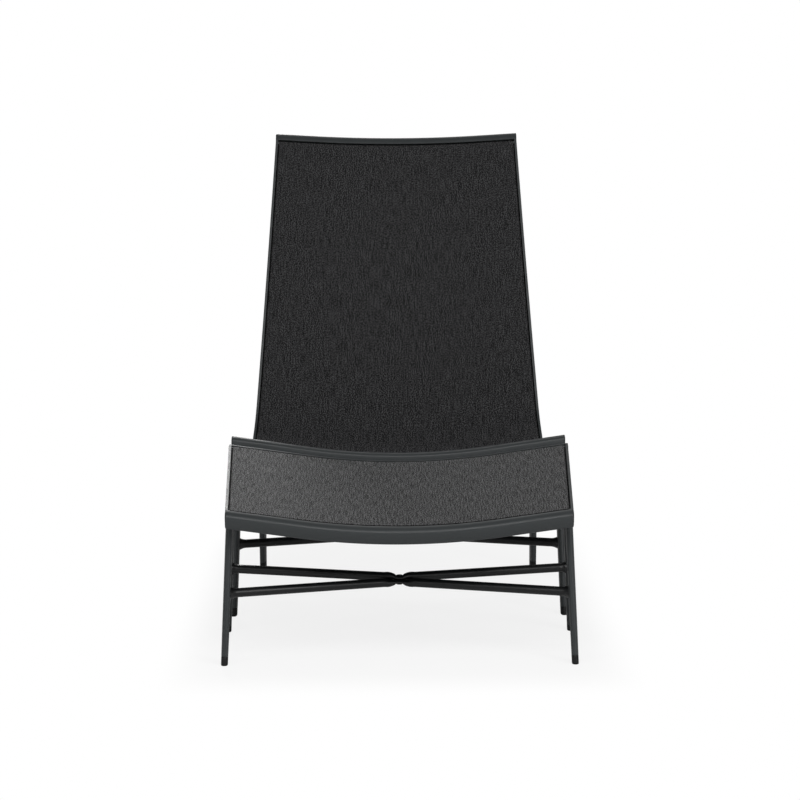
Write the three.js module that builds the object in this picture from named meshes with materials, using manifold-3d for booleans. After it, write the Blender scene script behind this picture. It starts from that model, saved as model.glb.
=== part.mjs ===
// A sling lounge chair and its matching footstool, in millimetres.
// +Z is up, +X is across, and both face -Y. The origin is on the floor, in the middle of the set.
import * as THREE from "three";
import { mergeVertices, toCreasedNormals } from "three/addons/utils/BufferGeometryUtils.js";
import Module from "manifold-3d";

const wasm = await Module();
wasm.setup();

// Clearances
const seatGap = 0.3; // between two pieces that touch
const overrun = 2; // how far a cutter or a joined piece runs past the face that it meets

// Chair: side profile and widths, measured on the outer faces of the side rails
const seatFrontHeight = 408.5;
const seatLength = 540; // from the front face to the corner of seat and back
const seatFall = 13; // degrees, down towards the back
const bendRadius = 180;
const backLength = 850.2; // from the corner of seat and back to the top edge
const backLean = 25; // degrees from upright
const chairHalfWidthFront = 368;
const chairHalfWidthBend = 344.8;
const chairHalfWidthWaist = 318.7; // draws the back's side edges inwards between bend and top
const chairHalfWidthTop = 297.9;

// Footstool: a flat panel that falls towards its front
const stoolFrontHeight = 319.8;
const stoolLength = 481;
const stoolRise = 10.1; // degrees, up towards the chair
const stoolHalfWidthFront = 350.6;
const stoolHalfWidthRear = 367.6;
const setSpacing = 562; // from the footstool's front face to the chair's

// The bow that front, rear and top rails share: an arc in the middle, straight on both sides
const bowRadius = 1424;
const bowHalfSpan = 205;

// Side rail section
const sideRailWidth = 17;
const sideRailHeight = 34;
const sideLipWidth = 5.6;
const sideLipRound = 2;

// Cross rail section
const crossRailDepth = 30;
const crossRailHeight = 35;
const crossLipWidth = 20;
const crossCrestDrop = 12; // from the top of the lip to the crest of the rounded face
const crossFootInset = 8; // from the crest back to the flat underside
const crossFootWidth = 16;
const crossHeelRound = 4;
const capDome = 1.8;
const capEdge = 1.1;
const capDomeShare = 0.72;
const capEdgeShare = 0.96;

// Groove for the sling's hem
const neckWidth = 4.6;
const neckClearance = 0.4;
const slingThickness = 1.2;
const slingSink = 0.9; // the fabric lies this far below the top of the lip
const splineRadius = 2;
const hookEnd = 354; // degrees round the spline at which the hem stops
const pocketDrop = 9.4; // from the top of the lip to the middle of the pocket
const pocketClearance = 0.45;

// Blade legs and glides
const legHeadInset = 8.7; // from the rail's outer face to the middle of the leg's head
const legChordTop = 42;
const legChordFoot = 32;
const legThicknessTop = 15.4;
const legThicknessAnkle = 15;
const legThicknessFoot = 14.2;
const ankleHeight = 70;
const legLap = 9; // how far a leg laps up the rail before it is coped
const glideHeight = 16.4;
const glideChamfer = 1.4;
const legSquareness = 3; // 2 is an ellipse; more makes the sides flatter and the ends blunter
const chairFrontLegSetback = 104; // from the front face to where the leg's middle meets the rail
const chairRearLegRun = 640; // the same for the rear leg, measured along the rail
const chairFrontFootSetback = 30;
const chairRearFootSetback = 663;
const chairFrontFootSpread = 12.8;
const chairRearFootSpread = 0.2;
const stoolFrontLegSetback = 105;
const stoolRearLegSetback = 345;
const stoolFrontFootSetback = 53;
const stoolRearFootSetback = 410;
const stoolFrontFootSpread = 12.2;
const stoolRearFootSpread = 16.2;

// Stretchers
const tubeRadius = 9.5;
const flareRadius = 13;
const flareLength = 13;
const pinchHalfHeight = 4.4;
const pinchHalfWidth = 11.5;
const pinchFlat = 7.5; // half the length of the flat
const pinchEnd = 32; // where the tube is round again
const pinchSwell = 0.6; // power of the swelling: below 1 it opens fast and then slowly
const tubeSplit = 5; // how far the two tubes' middles stand apart from the crossing's height
const chairStretcherHeight = 155;
const chairCrossingHeight = 135;
const stoolStretcherHeight = 142.5;
const stoolCrossingHeight = 143.5;
const crossingEaseShare = 0.85; // below 1 it keeps the two swellings clear of each other
const pinchShares = [0, 0.08, 0.25, 0.5, 0.75, 1]; // rings along the swelling
const boltRadius = 3;
const boltHeadRadius = 6.5;
const boltHeadHeight = 1;
const nutHeight = 1;
const nutRadius = 6.6;

// Spreader bar under the chair's sling
const spreaderRun = 560; // along the rail from the front face
const spreaderDrop = 21; // from the rail's top to the bar's middle at its ends
const spreaderBelly = 14; // further drop in the middle
const spreaderHalfHeight = 6.5;
const spreaderHalfDepth = 13;

// Fineness of curves
const steps = { bow: 6, bend: 9, back: 5, leg: 14, tube: 12, brow: 7, chin: 5, pocket: 8, lip: 3, hook: 6 };
const roundSides = { spline: 6, bolt: 12, nut: 6 };
const creaseAngle = 30; // degrees: flatter edges are shaded as smooth
const weldDistance = 1e-4; // corners closer than this are one corner
const cleanDistance = 0.01; // the same where pieces have been joined or cut

const frameMetal = { color: 0x3c3f41, roughness: 0.55, metalness: 0.35 };
const tubeMetal = { color: 0x2c2e30, roughness: 0.5, metalness: 0.35 };
const glideRubber = { color: 0x141516, roughness: 0.7, metalness: 0 };
const capPlastic = { color: 0x393c3e, roughness: 0.6, metalness: 0 };
const slingFabric = { color: 0x3d3d40, roughness: 0.9, metalness: 0 };
const splinePlastic = { color: 0x1b1b1c, roughness: 0.6, metalness: 0 };
const boltSteel = { color: 0x202122, roughness: 0.4, metalness: 0.8 };

const across = new THREE.Vector3(1, 0, 0);
const up = new THREE.Vector3(0, 0, 1);
const bowSlope = bowHalfSpan / bowRadius;

// Points of an arc about a middle, angles in radians
function arcPoints(middle, radius, from, to, count) {
  return Array.from({ length: count + 1 }, (_, i) => {
    const angle = from + ((to - from) * i) / count;
    return new THREE.Vector2(middle.x + radius * Math.cos(angle), middle.y + radius * Math.sin(angle));
  });
}

function circle(radius, count) {
  return arcPoints(new THREE.Vector2(), radius, 0, 2 * Math.PI, count).slice(1);
}

function signedVolume(positions, index) {
  const [a, b, c] = [new THREE.Vector3(), new THREE.Vector3(), new THREE.Vector3()];
  let volume = 0;
  for (let i = 0; i < index.length; i += 3) {
    a.copy(positions[index[i]]);
    b.copy(positions[index[i + 1]]);
    c.copy(positions[index[i + 2]]);
    volume += a.dot(b.cross(c));
  }
  return volume;
}

// Triangles that close a flat ring of points, wound as the ring is
function capTriangles(ring) {
  const middle = new THREE.Vector3();
  ring.forEach((point) => middle.addScaledVector(point, 1 / ring.length));
  const normal = new THREE.Vector3();
  ring.forEach((point, i) => {
    const next = ring[(i + 1) % ring.length];
    normal.add(point.clone().sub(middle).cross(next.clone().sub(middle)));
  });
  normal.normalize();
  const side = Math.abs(normal.x) < Math.abs(normal.z) ? across.clone() : up.clone();
  const u = side.cross(normal).normalize();
  const v = normal.clone().cross(u);
  const flat = ring.map((point) => {
    const arm = point.clone().sub(middle);
    return new THREE.Vector2(arm.dot(u), arm.dot(v));
  });
  return THREE.ShapeUtils.triangulateShape(flat, []).map(([a, b, c]) => {
    const turn = flat[b].clone().sub(flat[a]).cross(flat[c].clone().sub(flat[a]));
    return turn < 0 ? [a, c, b] : [a, b, c];
  });
}

// A closed solid through a row of rings that have equally many points
function loft(rings) {
  const count = rings[0].length;
  const positions = rings.flat();
  const index = [];
  for (let r = 0; r + 1 < rings.length; r += 1) {
    for (let i = 0; i < count; i += 1) {
      const next = (i + 1) % count;
      const [a, b] = [r * count + i, r * count + next];
      index.push(a, b, b + count, a, b + count, a + count);
    }
  }
  const last = (rings.length - 1) * count;
  capTriangles(rings[0]).forEach(([a, b, c]) => index.push(a, c, b));
  capTriangles(rings.at(-1)).forEach(([a, b, c]) => index.push(last + a, last + b, last + c));
  if (signedVolume(positions, index) < 0) index.reverse();
  const geometry = new THREE.BufferGeometry().setFromPoints(positions);
  geometry.setIndex(index);
  return geometry;
}

// A geometry as a solid that can be joined and cut
function solidFrom(geometry) {
  const bare = geometry.clone();
  bare.deleteAttribute("normal");
  bare.deleteAttribute("uv");
  const merged = mergeVertices(bare, weldDistance);
  const vertProperties = Float32Array.from(merged.getAttribute("position").array);
  const triVerts = Uint32Array.from(merged.index.array);
  return new wasm.Manifold(new wasm.Mesh({ numProp: 3, vertProperties, triVerts }));
}

// A solid as a geometry, without the slivers that joining and cutting leave
function geometryFrom(solid) {
  const mesh = solid.getMesh();
  const geometry = new THREE.BufferGeometry();
  geometry.setAttribute("position", new THREE.BufferAttribute(Float32Array.from(mesh.vertProperties), 3));
  geometry.setIndex(Array.from(mesh.triVerts));
  const clean = mergeVertices(geometry, cleanDistance);
  const corners = clean.index.array;
  const kept = [];
  for (let i = 0; i < corners.length; i += 3) {
    const [a, b, c] = corners.slice(i, i + 3);
    if (a !== b && b !== c && c !== a) kept.push(a, b, c);
  }
  clean.setIndex(kept);
  return clean;
}

function join(...geometries) {
  return geometryFrom(geometries.map(solidFrom).reduce((whole, piece) => whole.add(piece)));
}

function cut(geometry, ...cutters) {
  const rest = cutters.map(solidFrom).reduce((left, cutter) => left.subtract(cutter), solidFrom(geometry));
  return geometryFrom(rest);
}

// Height of the bow above its middle, at a distance from the middle plane
function bow(x) {
  const distance = Math.abs(x);
  if (distance <= bowHalfSpan) return distance ** 2 / (2 * bowRadius);
  return bowHalfSpan ** 2 / (2 * bowRadius) + (distance - bowHalfSpan) * bowSlope;
}

// Where a bowed piece of a given half length has its rings
function bowStations(half) {
  const arc = Array.from({ length: steps.bow + 1 }, (_, i) => bowHalfSpan * ((2 * i) / steps.bow - 1));
  return [-half, ...arc, half];
}

// The chair's side profile: seat, bend and back, as a point, a direction and a normal for each run along it
function chairProfile() {
  const fall = THREE.MathUtils.degToRad(seatFall);
  const climb = THREE.MathUtils.degToRad(90 - backLean);
  const turn = fall + climb;
  const tangent = bendRadius * Math.tan(turn / 2);
  const seatRun = seatLength - tangent;
  const bendRun = bendRadius * turn;
  const length = seatRun + bendRun + backLength - tangent;
  const start = new THREE.Vector3(0, 0, seatFrontHeight);
  const frameAt = (angle) => {
    const along = new THREE.Vector3(0, Math.cos(angle), Math.sin(angle));
    return { along, normal: new THREE.Vector3(0, -along.z, along.y) };
  };
  const seatEnd = start.clone().addScaledVector(frameAt(-fall).along, seatRun);
  const bendMiddle = seatEnd.clone().addScaledVector(frameAt(-fall).normal, bendRadius);
  const at = (run) => {
    const angle = -fall + THREE.MathUtils.clamp((run - seatRun) / bendRadius, 0, turn);
    const frame = frameAt(angle);
    const point = bendMiddle.clone().addScaledVector(frame.normal, -bendRadius);
    if (run < seatRun) point.addScaledVector(frame.along, run - seatRun);
    if (run > seatRun + bendRun) point.addScaledVector(frame.along, run - seatRun - bendRun);
    return { point, ...frame };
  };
  const corner = seatLength;
  const halfWidth = (run) => {
    const share = (run - corner) / (length - corner);
    if (share <= 0) return THREE.MathUtils.lerp(chairHalfWidthFront, chairHalfWidthBend, run / corner);
    const first = THREE.MathUtils.lerp(chairHalfWidthBend, chairHalfWidthWaist, share);
    const second = THREE.MathUtils.lerp(chairHalfWidthWaist, chairHalfWidthTop, share);
    return THREE.MathUtils.lerp(first, second, share);
  };
  const stations = (from, to) => {
    const bend = Array.from({ length: steps.bend + 1 }, (_, i) => seatRun + (bendRun * i) / steps.bend);
    const rest = Array.from({ length: steps.back }, (_, i) => {
      return THREE.MathUtils.lerp(seatRun + bendRun, to, (i + 1) / steps.back);
    });
    return [from, ...bend, ...rest];
  };
  return { length, at, halfWidth, stations };
}

// The footstool's side profile: one straight run
function stoolProfile() {
  const rise = THREE.MathUtils.degToRad(stoolRise);
  const along = new THREE.Vector3(0, Math.cos(rise), Math.sin(rise));
  const normal = new THREE.Vector3(0, -along.z, along.y);
  const start = new THREE.Vector3(0, 0, stoolFrontHeight);
  const at = (run) => ({ point: start.clone().addScaledVector(along, run), along, normal });
  const halfWidth = (run) => {
    return THREE.MathUtils.lerp(stoolHalfWidthFront, stoolHalfWidthRear, run / stoolLength);
  };
  return { length: stoolLength, at, halfWidth, stations: (from, to) => [from, to] };
}

// Sizes of the groove, from the inner side of the lip
const hookOuter = splineRadius + seatGap + slingThickness;
const hookInner = splineRadius + seatGap;
const pocketRadius = hookOuter + pocketClearance;
const stripOuter = neckWidth - neckClearance - slingThickness;
const landDrop = slingSink + slingThickness + seatGap;

// Outline of the groove from the lip down round the pocket and up to the land
function grooveOutline(lipWidth) {
  const middle = new THREE.Vector2(lipWidth + neckWidth / 2, -pocketDrop);
  const mouth = Math.acos(neckWidth / 2 / pocketRadius);
  const pocket = arcPoints(middle, pocketRadius, Math.PI - mouth, 2 * Math.PI + mouth, steps.pocket);
  return [new THREE.Vector2(lipWidth, 0), ...pocket, new THREE.Vector2(lipWidth + neckWidth, -landDrop)];
}

// Side rail tops follow the bow of the panel, so they fall inwards
const fallen = (point) => new THREE.Vector2(point.x, point.y - bowSlope * point.x);

// Outer corner of the lip
function lipCorner(grow) {
  const middle = new THREE.Vector2(sideLipRound, -sideLipRound);
  return arcPoints(middle, sideLipRound + grow, Math.PI, Math.PI / 2, steps.lip);
}

// Side rail section: x is the distance in from the outer face, y is up from the top of the lip
function sideRailOutline({ grooved = true, grow = 0 } = {}) {
  const right = sideRailWidth + grow;
  const bottomMiddle = new THREE.Vector2(sideRailWidth / 2, -sideRailHeight + sideRailWidth / 2);
  const bottom = arcPoints(bottomMiddle, sideRailWidth / 2 + grow, 0, -Math.PI, steps.pocket);
  const land = new THREE.Vector2(right, -landDrop);
  const top = grooved ? [...grooveOutline(sideLipWidth), land] : [new THREE.Vector2(right, grow)];
  return [...[...lipCorner(grow), ...top].map(fallen), ...bottom];
}

// Cross rail section: x is the distance in from the crest of the rounded face, y is up from the lip's top.
// Inside the lip its top lies lower, under the ends of the side rails' lips.
function crossRailOutline({ grooved = true } = {}) {
  const crest = new THREE.Vector2(0, -crossCrestDrop);
  const ovalMiddle = new THREE.Vector2(crossLipWidth, -crossCrestDrop);
  const brow = arcPoints(new THREE.Vector2(), 1, Math.PI, Math.PI / 2, steps.brow).map((p) => {
    return p.multiply(new THREE.Vector2(crossLipWidth, crossCrestDrop)).add(ovalMiddle);
  });
  const underside = new THREE.Vector2(crossFootInset, -crossRailHeight);
  const chin = new THREE.CubicBezierCurve(
    underside,
    new THREE.Vector2(crossFootInset / 2, -crossRailHeight),
    new THREE.Vector2(0, -(crossRailHeight + crossCrestDrop) / 2),
    crest,
  );
  const land = new THREE.Vector2(crossRailDepth, -landDrop);
  const step = grooved ? grooveOutline(crossLipWidth).slice(1) : [new THREE.Vector2(crossLipWidth, -landDrop)];
  const heel = [
    new THREE.Vector2(crossRailDepth, -crossRailHeight + crossHeelRound),
    new THREE.Vector2(crossFootInset + crossFootWidth, -crossRailHeight),
  ];
  return [...chin.getPoints(steps.chin).slice(0, -1), ...brow, ...step, land, ...heel];
}

// Outline of a hem: a strip down the neck that hooks round the spline
function hemOutline(lipWidth) {
  const middle = new THREE.Vector2(lipWidth + neckWidth / 2, -pocketDrop);
  const outer = lipWidth + stripOuter;
  const inner = outer + slingThickness;
  const top = -slingSink;
  const outerAngle = Math.acos((outer - middle.x) / hookOuter);
  const innerAngle = Math.acos((inner - middle.x) / hookInner);
  const tip = THREE.MathUtils.degToRad(hookEnd);
  return [
    new THREE.Vector2(outer, top),
    ...arcPoints(middle, hookOuter, outerAngle, tip, steps.hook),
    ...arcPoints(middle, hookInner, tip, innerAngle, steps.hook + 1),
    new THREE.Vector2(inner, top),
  ];
}

function splineOutline(lipWidth) {
  const middle = new THREE.Vector2(lipWidth + neckWidth / 2, -pocketDrop);
  return arcPoints(middle, splineRadius, 0, 2 * Math.PI, roundSides.spline).slice(1);
}

// A ring of a side rail's section at a run along the profile; hand is -1 on the left, 1 on the right
function sideRing(profile, outline, run, hand) {
  const { point, normal } = profile.at(run);
  return outline.map(({ x, y }) => {
    const place = point.clone().addScaledVector(normal, y);
    return place.setX(hand * (profile.halfWidth(run) - x));
  });
}

function sideSweep(profile, outline, hand, from, to) {
  return loft(profile.stations(from, to).map((run) => sideRing(profile, outline, run, hand)));
}

// A side rail with the seating gap around it, which cuts the ends of what meets it
function grownSideRail(profile, hand) {
  const outline = sideRailOutline({ grooved: false, grow: seatGap });
  const from = crossRailDepth + seatGap;
  return sideSweep(profile, outline, hand, from, profile.length - from);
}

// A ring of a cross rail's section at a distance x from the middle plane.
// An end's inwards is 1 at the front and -1 at the far end.
function crossRing(end, outline, x, square) {
  const tilt = Math.atan(Math.sign(x) * Math.min(Math.abs(x), bowHalfSpan) / bowRadius);
  const drop = bow(end.level) - bow(x);
  return outline.map((p) => {
    const height = square ? p.y / Math.cos(tilt) : p.y * Math.cos(tilt);
    const place = end.point.clone().addScaledVector(end.along, end.inwards * p.x);
    place.addScaledVector(end.normal, height - drop);
    return place.setX(square ? x : x - p.y * Math.sin(tilt));
  });
}

function crossSweep(end, outline, half) {
  return loft(bowStations(half).map((x) => crossRing(end, outline, x, Math.abs(x) > bowHalfSpan)));
}

// The two ends of a profile, where cross rails lie: their caps end flush with the side rails
function profileEnds(profile) {
  const endAt = (run, inwards) => {
    const level = profile.halfWidth(run);
    const flush = Math.max(level, profile.halfWidth(run + inwards * crossRailDepth));
    return { ...profile.at(run), run, inwards, level, half: flush - capDome - seatGap };
  };
  return { near: endAt(0, 1), far: endAt(profile.length, -1) };
}

function sideRail(profile, hand) {
  const from = crossRailDepth + seatGap;
  const to = profile.length - from;
  const body = sideSweep(profile, sideRailOutline(), hand, from, to);
  const lipFloor = seatGap - landDrop;
  const lip = [
    ...lipCorner(0),
    new THREE.Vector2(sideLipWidth, 0),
    new THREE.Vector2(sideLipWidth, lipFloor),
    new THREE.Vector2(0, lipFloor),
  ].map(fallen);
  const reach = crossLipWidth + seatGap;
  const tongue = (start, end) => loft([start, end].map((run) => sideRing(profile, lip, run, hand)));
  return join(body, tongue(reach, from + overrun), tongue(to - overrun, profile.length - reach));
}

function endCap(end, hand) {
  const outline = crossRailOutline({ grooved: false });
  const middle = new THREE.Vector2(crossRailDepth / 2, -crossRailHeight / 2);
  const shrunk = (share) => outline.map((p) => p.clone().sub(middle).multiplyScalar(share).add(middle));
  const start = end.half + seatGap;
  const rings = [
    [start, 1],
    [start + capEdge, capEdgeShare],
    [start + capDome, capDomeShare],
  ];
  return loft(rings.map(([x, share]) => crossRing(end, shrunk(share), hand * x, true)));
}

// The sling: a bowed sheet with hooked hems along all four sides
function sling(profile) {
  const edge = sideLipWidth + stripOuter;
  const reach = crossLipWidth + stripOuter;
  const sheetRing = (run) => {
    const { point, normal } = profile.at(run);
    const half = profile.halfWidth(run);
    const row = bowStations(half - edge);
    const at = (x, y) => {
      const place = point.clone().addScaledVector(normal, y - bow(half) + bow(x));
      return place.setX(x);
    };
    const top = row.map((x) => at(x, -slingSink));
    const bottom = row.map((x) => at(x, -slingSink - slingThickness));
    return [...top, ...bottom.reverse()];
  };
  const from = crossRailDepth + 2 * seatGap;
  const to = profile.length - from;
  const sheet = loft([reach, ...profile.stations(from, to), profile.length - reach].map(sheetRing));
  const sideHem = hemOutline(sideLipWidth).map(fallen);
  const sides = [-1, 1].map((hand) => sideSweep(profile, sideHem, hand, from, to));
  const ends = Object.values(profileEnds(profile)).map((end) => {
    const half = profile.halfWidth(Math.abs(end.run - reach)) - edge;
    return crossSweep(end, hemOutline(crossLipWidth), half);
  });
  return join(sheet, ...sides, ...ends);
}

function sideSpline(profile, hand) {
  const outline = splineOutline(sideLipWidth).map(fallen);
  const from = crossRailDepth + 2 * seatGap;
  return sideSweep(profile, outline, hand, from, profile.length - from);
}

function crossSpline(end) {
  return crossSweep(end, splineOutline(crossLipWidth), end.half - sideLipWidth - stripOuter);
}

// A flat oval that reaches 1 each way
function flatOval(count) {
  const press = (value) => Math.sign(value) * Math.abs(value) ** (2 / legSquareness);
  return circle(1, count).map((p) => new THREE.Vector2(press(p.x), press(p.y)));
}

// A blade leg: a flat oval that tapers from the rail to the foot
function bladeLeg(profile, { run, footY, spread, hand }) {
  const rail = profile.at(run);
  const railX = profile.halfWidth(run) - legHeadInset;
  const top = rail.point.clone().addScaledVector(rail.normal, -sideRailHeight / 2).setX(hand * railX);
  const foot = new THREE.Vector3(hand * (railX + spread), footY, 0);
  const axis = top.clone().sub(foot).normalize();
  const ahead = profile.at(run + overrun);
  const flare = profile.halfWidth(run + overrun) - profile.halfWidth(run);
  const railWay = ahead.point.clone().sub(rail.point).setX(hand * flare).setZ(0).normalize();
  const chordWay = railWay.clone().addScaledVector(axis, -railWay.dot(axis)).normalize();
  const thickWay = axis.clone().cross(chordWay);
  const height = top.distanceTo(foot);
  const ankle = ankleHeight / height;
  const sectionAt = (share) => {
    const low = share < ankle;
    const local = low ? share / ankle : (share - ankle) / (1 - ankle);
    const thick = low
      ? THREE.MathUtils.lerp(legThicknessFoot, legThicknessAnkle, local)
      : THREE.MathUtils.lerp(legThicknessAnkle, legThicknessTop, local);
    return { chord: THREE.MathUtils.lerp(legChordFoot, legChordTop, share), thick };
  };
  const ringAt = (share, grow = 0) => {
    const { chord, thick } = sectionAt(share);
    return flatOval(steps.leg).map((p) => {
      const place = foot.clone().addScaledVector(axis, share * height);
      place.addScaledVector(chordWay, p.x * (chord / 2 + grow));
      return place.addScaledVector(thickWay, p.y * (thick / 2 + grow));
    });
  };
  // The ring where a plane cuts the blade between two of its rings
  const ringOn = (low, high, plane, grow = 0) => {
    const [start, end] = [ringAt(low, grow), ringAt(high, grow)];
    return start.map((p, i) => {
      const way = end[i].clone().sub(p);
      const share = -plane.distanceToPoint(p) / plane.normal.dot(way);
      return p.clone().addScaledVector(way, share);
    });
  };
  const lapPlane = new THREE.Plane().setFromNormalAndCoplanarPoint(
    rail.normal,
    rail.point.clone().addScaledVector(rail.normal, -sideRailHeight + legLap),
  );
  const seam = glideHeight / height;
  const blank = (grow = 0) => {
    const floorRing = ringAt(seam + seatGap / height, grow);
    return loft([floorRing, ringAt(ankle, grow), ringOn(ankle, 1, lapPlane, grow)]);
  };
  const cutter = grownSideRail(profile, hand);
  const floor = new THREE.Plane(up, 0);
  const chamferPlane = new THREE.Plane(up, -glideChamfer);
  const onFloor = ringOn(0, seam, floor);
  const middle = new THREE.Vector3();
  onFloor.forEach((p) => middle.addScaledVector(p, 1 / onFloor.length));
  const inset = (2 * glideChamfer) / legThicknessFoot;
  const sole = onFloor.map((p) => p.clone().lerp(middle, inset));
  const glide = loft([sole, ringOn(0, seam, chamferPlane), ringAt(seam)]);
  const axisAt = (z) => foot.clone().lerp(top, z / top.z);
  return { leg: cut(blank(), cutter), glide, grown: blank(seatGap), axisAt };
}

// A stretcher tube: two arms from the legs to the crossing, pinched flat in the middle
function stretcher(leftLeg, rightLeg, { height, crossing, crossingY, level }) {
  const start = leftLeg.axisAt(height);
  const reach = Math.abs(start.x);
  const slope = (crossingY - start.y) / reach;
  const legFace = reach - legThicknessTop / 2;
  const arm = (x) => {
    const distance = Math.abs(x);
    const open = THREE.MathUtils.clamp((distance - pinchFlat) / (pinchEnd - pinchFlat), 0, 1);
    const round = open ** pinchSwell;
    const bend = Math.hypot(distance, pinchFlat) - pinchFlat;
    const flare = THREE.MathUtils.clamp((distance - legFace + flareLength) / flareLength, 0, 1);
    const radius = THREE.MathUtils.lerp(tubeRadius, flareRadius, flare ** 2);
    const lean = slope * Math.min(1, distance / pinchEnd);
    const halfHeight = THREE.MathUtils.lerp(pinchHalfHeight, radius, round);
    const halfWidth = THREE.MathUtils.lerp(pinchHalfWidth, radius, round) * Math.hypot(1, lean);
    const besides = Math.min(1, (crossingEaseShare * Math.abs(slope) * bend) / halfWidth);
    const touching = halfHeight * Math.sqrt(1 - besides ** 2) + seatGap / 2;
    const split = Math.max(touching, tubeSplit * open);
    const y = crossingY - slope * bend;
    const z = THREE.MathUtils.lerp(crossing + level * split, height, distance / reach);
    return { y, z, halfHeight, halfWidth };
  };
  const swell = pinchShares.map((share) => THREE.MathUtils.lerp(pinchFlat, pinchEnd, share));
  const half = [0, ...swell, legFace - flareLength, legFace - flareLength / 2, legFace, reach];
  const row = [...half.slice(1).reverse().map((x) => -x), ...half];
  const rings = row.map((x) => {
    const { y, z, halfHeight, halfWidth } = arm(x);
    return circle(1, steps.tube).map((p) => {
      return new THREE.Vector3(x, y + p.x * halfWidth, z + p.y * halfHeight);
    });
  });
  const bore = boltRadius + seatGap;
  const hole = new THREE.CylinderGeometry(bore, bore, 2 * flareRadius, roundSides.bolt);
  hole.rotateX(Math.PI / 2).translate(0, crossingY, crossing);
  return cut(loft(rings), leftLeg.grown, rightLeg.grown, hole);
}

// From the crossing's height to the faces that bolt head and nut sit on
const stackHalfHeight = 2 * pinchHalfHeight + seatGap / 2 + seatGap;

function crossingBolt(crossing, crossingY) {
  const profile = [
    [0, -stackHalfHeight - nutHeight],
    [boltRadius, -stackHalfHeight - nutHeight],
    [boltRadius, stackHalfHeight],
    [boltHeadRadius, stackHalfHeight],
    [boltHeadRadius, stackHalfHeight + boltHeadHeight / 2],
    [boltHeadRadius / 2, stackHalfHeight + boltHeadHeight],
    [0, stackHalfHeight + boltHeadHeight],
  ].map(([x, y]) => new THREE.Vector2(x, y));
  const geometry = new THREE.LatheGeometry(profile, roundSides.bolt);
  return geometry.rotateX(Math.PI / 2).translate(0, crossingY, crossing);
}

function crossingNut(crossing, crossingY) {
  const shape = new THREE.Shape(circle(nutRadius, roundSides.nut));
  shape.holes.push(new THREE.Path(circle(boltRadius + seatGap, roundSides.bolt)));
  const geometry = new THREE.ExtrudeGeometry(shape, { depth: nutHeight, bevelEnabled: false });
  return geometry.translate(0, crossingY, crossing - stackHalfHeight - nutHeight);
}

// The spreader bar, an oval tube that bows lower than the sling
function spreaderBar(profile) {
  const { point, along, normal } = profile.at(spreaderRun);
  const half = profile.halfWidth(spreaderRun) - sideRailWidth / 2;
  const belly = (x) => spreaderBelly * (1 - (x / half) ** 2);
  const rings = bowStations(half).map((x) => {
    const drop = spreaderDrop + bow(half) - bow(x) + belly(x);
    return circle(1, steps.tube).map((p) => {
      const place = point.clone().addScaledVector(along, p.x * spreaderHalfDepth);
      return place.addScaledVector(normal, p.y * spreaderHalfHeight - drop).setX(x);
    });
  });
  return cut(loft(rings), ...[-1, 1].map((hand) => grownSideRail(profile, hand)));
}

function mesh(name, geometry, finish) {
  const creased = toCreasedNormals(geometry, THREE.MathUtils.degToRad(creaseAngle));
  const body = new THREE.Mesh(creased, new THREE.MeshStandardMaterial(finish));
  body.name = name;
  return body;
}

// Rails, caps, sling and splines, which chair and footstool share
function panel(prefix, profile, endNames) {
  const group = new THREE.Group();
  const ends = profileEnds(profile);
  const hands = { left: -1, right: 1 };
  for (const [side, hand] of Object.entries(hands)) {
    group.add(mesh(`${prefix}_side_rail_${side}`, sideRail(profile, hand), frameMetal));
    group.add(mesh(`${prefix}_spline_${side}`, sideSpline(profile, hand), splinePlastic));
  }
  for (const [where, endName] of Object.entries(endNames)) {
    const end = ends[where];
    group.add(mesh(`${prefix}_${endName}_rail`, crossSweep(end, crossRailOutline(), end.half), frameMetal));
    group.add(mesh(`${prefix}_spline_${endName}`, crossSpline(end), splinePlastic));
    for (const [side, hand] of Object.entries(hands)) {
      group.add(mesh(`${prefix}_${endName}_cap_${side}`, endCap(end, hand), capPlastic));
    }
  }
  group.add(mesh(`${prefix}_sling`, sling(profile), slingFabric));
  return group;
}

// Legs, glides and the crossed stretchers under a panel
function underframe(prefix, profile, legs, { height, crossing }) {
  const group = new THREE.Group();
  const made = {};
  for (const [row, place] of Object.entries(legs)) {
    for (const [side, hand] of Object.entries({ left: -1, right: 1 })) {
      const leg = bladeLeg(profile, { ...place, hand });
      made[`${row}_${side}`] = leg;
      group.add(mesh(`${prefix}_leg_${row}_${side}`, leg.leg, frameMetal));
      group.add(mesh(`${prefix}_glide_${row}_${side}`, leg.glide, glideRubber));
    }
  }
  const crossingY = (made.front_left.axisAt(height).y + made.rear_left.axisAt(height).y) / 2;
  const shared = { height, crossing, crossingY };
  const front = stretcher(made.front_left, made.front_right, { ...shared, level: -1 });
  const rear = stretcher(made.rear_left, made.rear_right, { ...shared, level: 1 });
  group.add(mesh(`${prefix}_stretcher_front`, front, tubeMetal));
  group.add(mesh(`${prefix}_stretcher_rear`, rear, tubeMetal));
  group.add(mesh(`${prefix}_crossing_bolt`, crossingBolt(crossing, crossingY), boltSteel));
  group.add(mesh(`${prefix}_crossing_nut`, crossingNut(crossing, crossingY), boltSteel));
  return group;
}

function buildChair() {
  const profile = chairProfile();
  const group = panel("chair", profile, { near: "front", far: "top" });
  const legs = {
    front: { run: chairFrontLegSetback, footY: chairFrontFootSetback, spread: chairFrontFootSpread },
    rear: { run: chairRearLegRun, footY: chairRearFootSetback, spread: chairRearFootSpread },
  };
  const heights = { height: chairStretcherHeight, crossing: chairCrossingHeight };
  group.add(underframe("chair", profile, legs, heights));
  group.add(mesh("chair_spreader_bar", spreaderBar(profile), frameMetal));
  return group;
}

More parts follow.
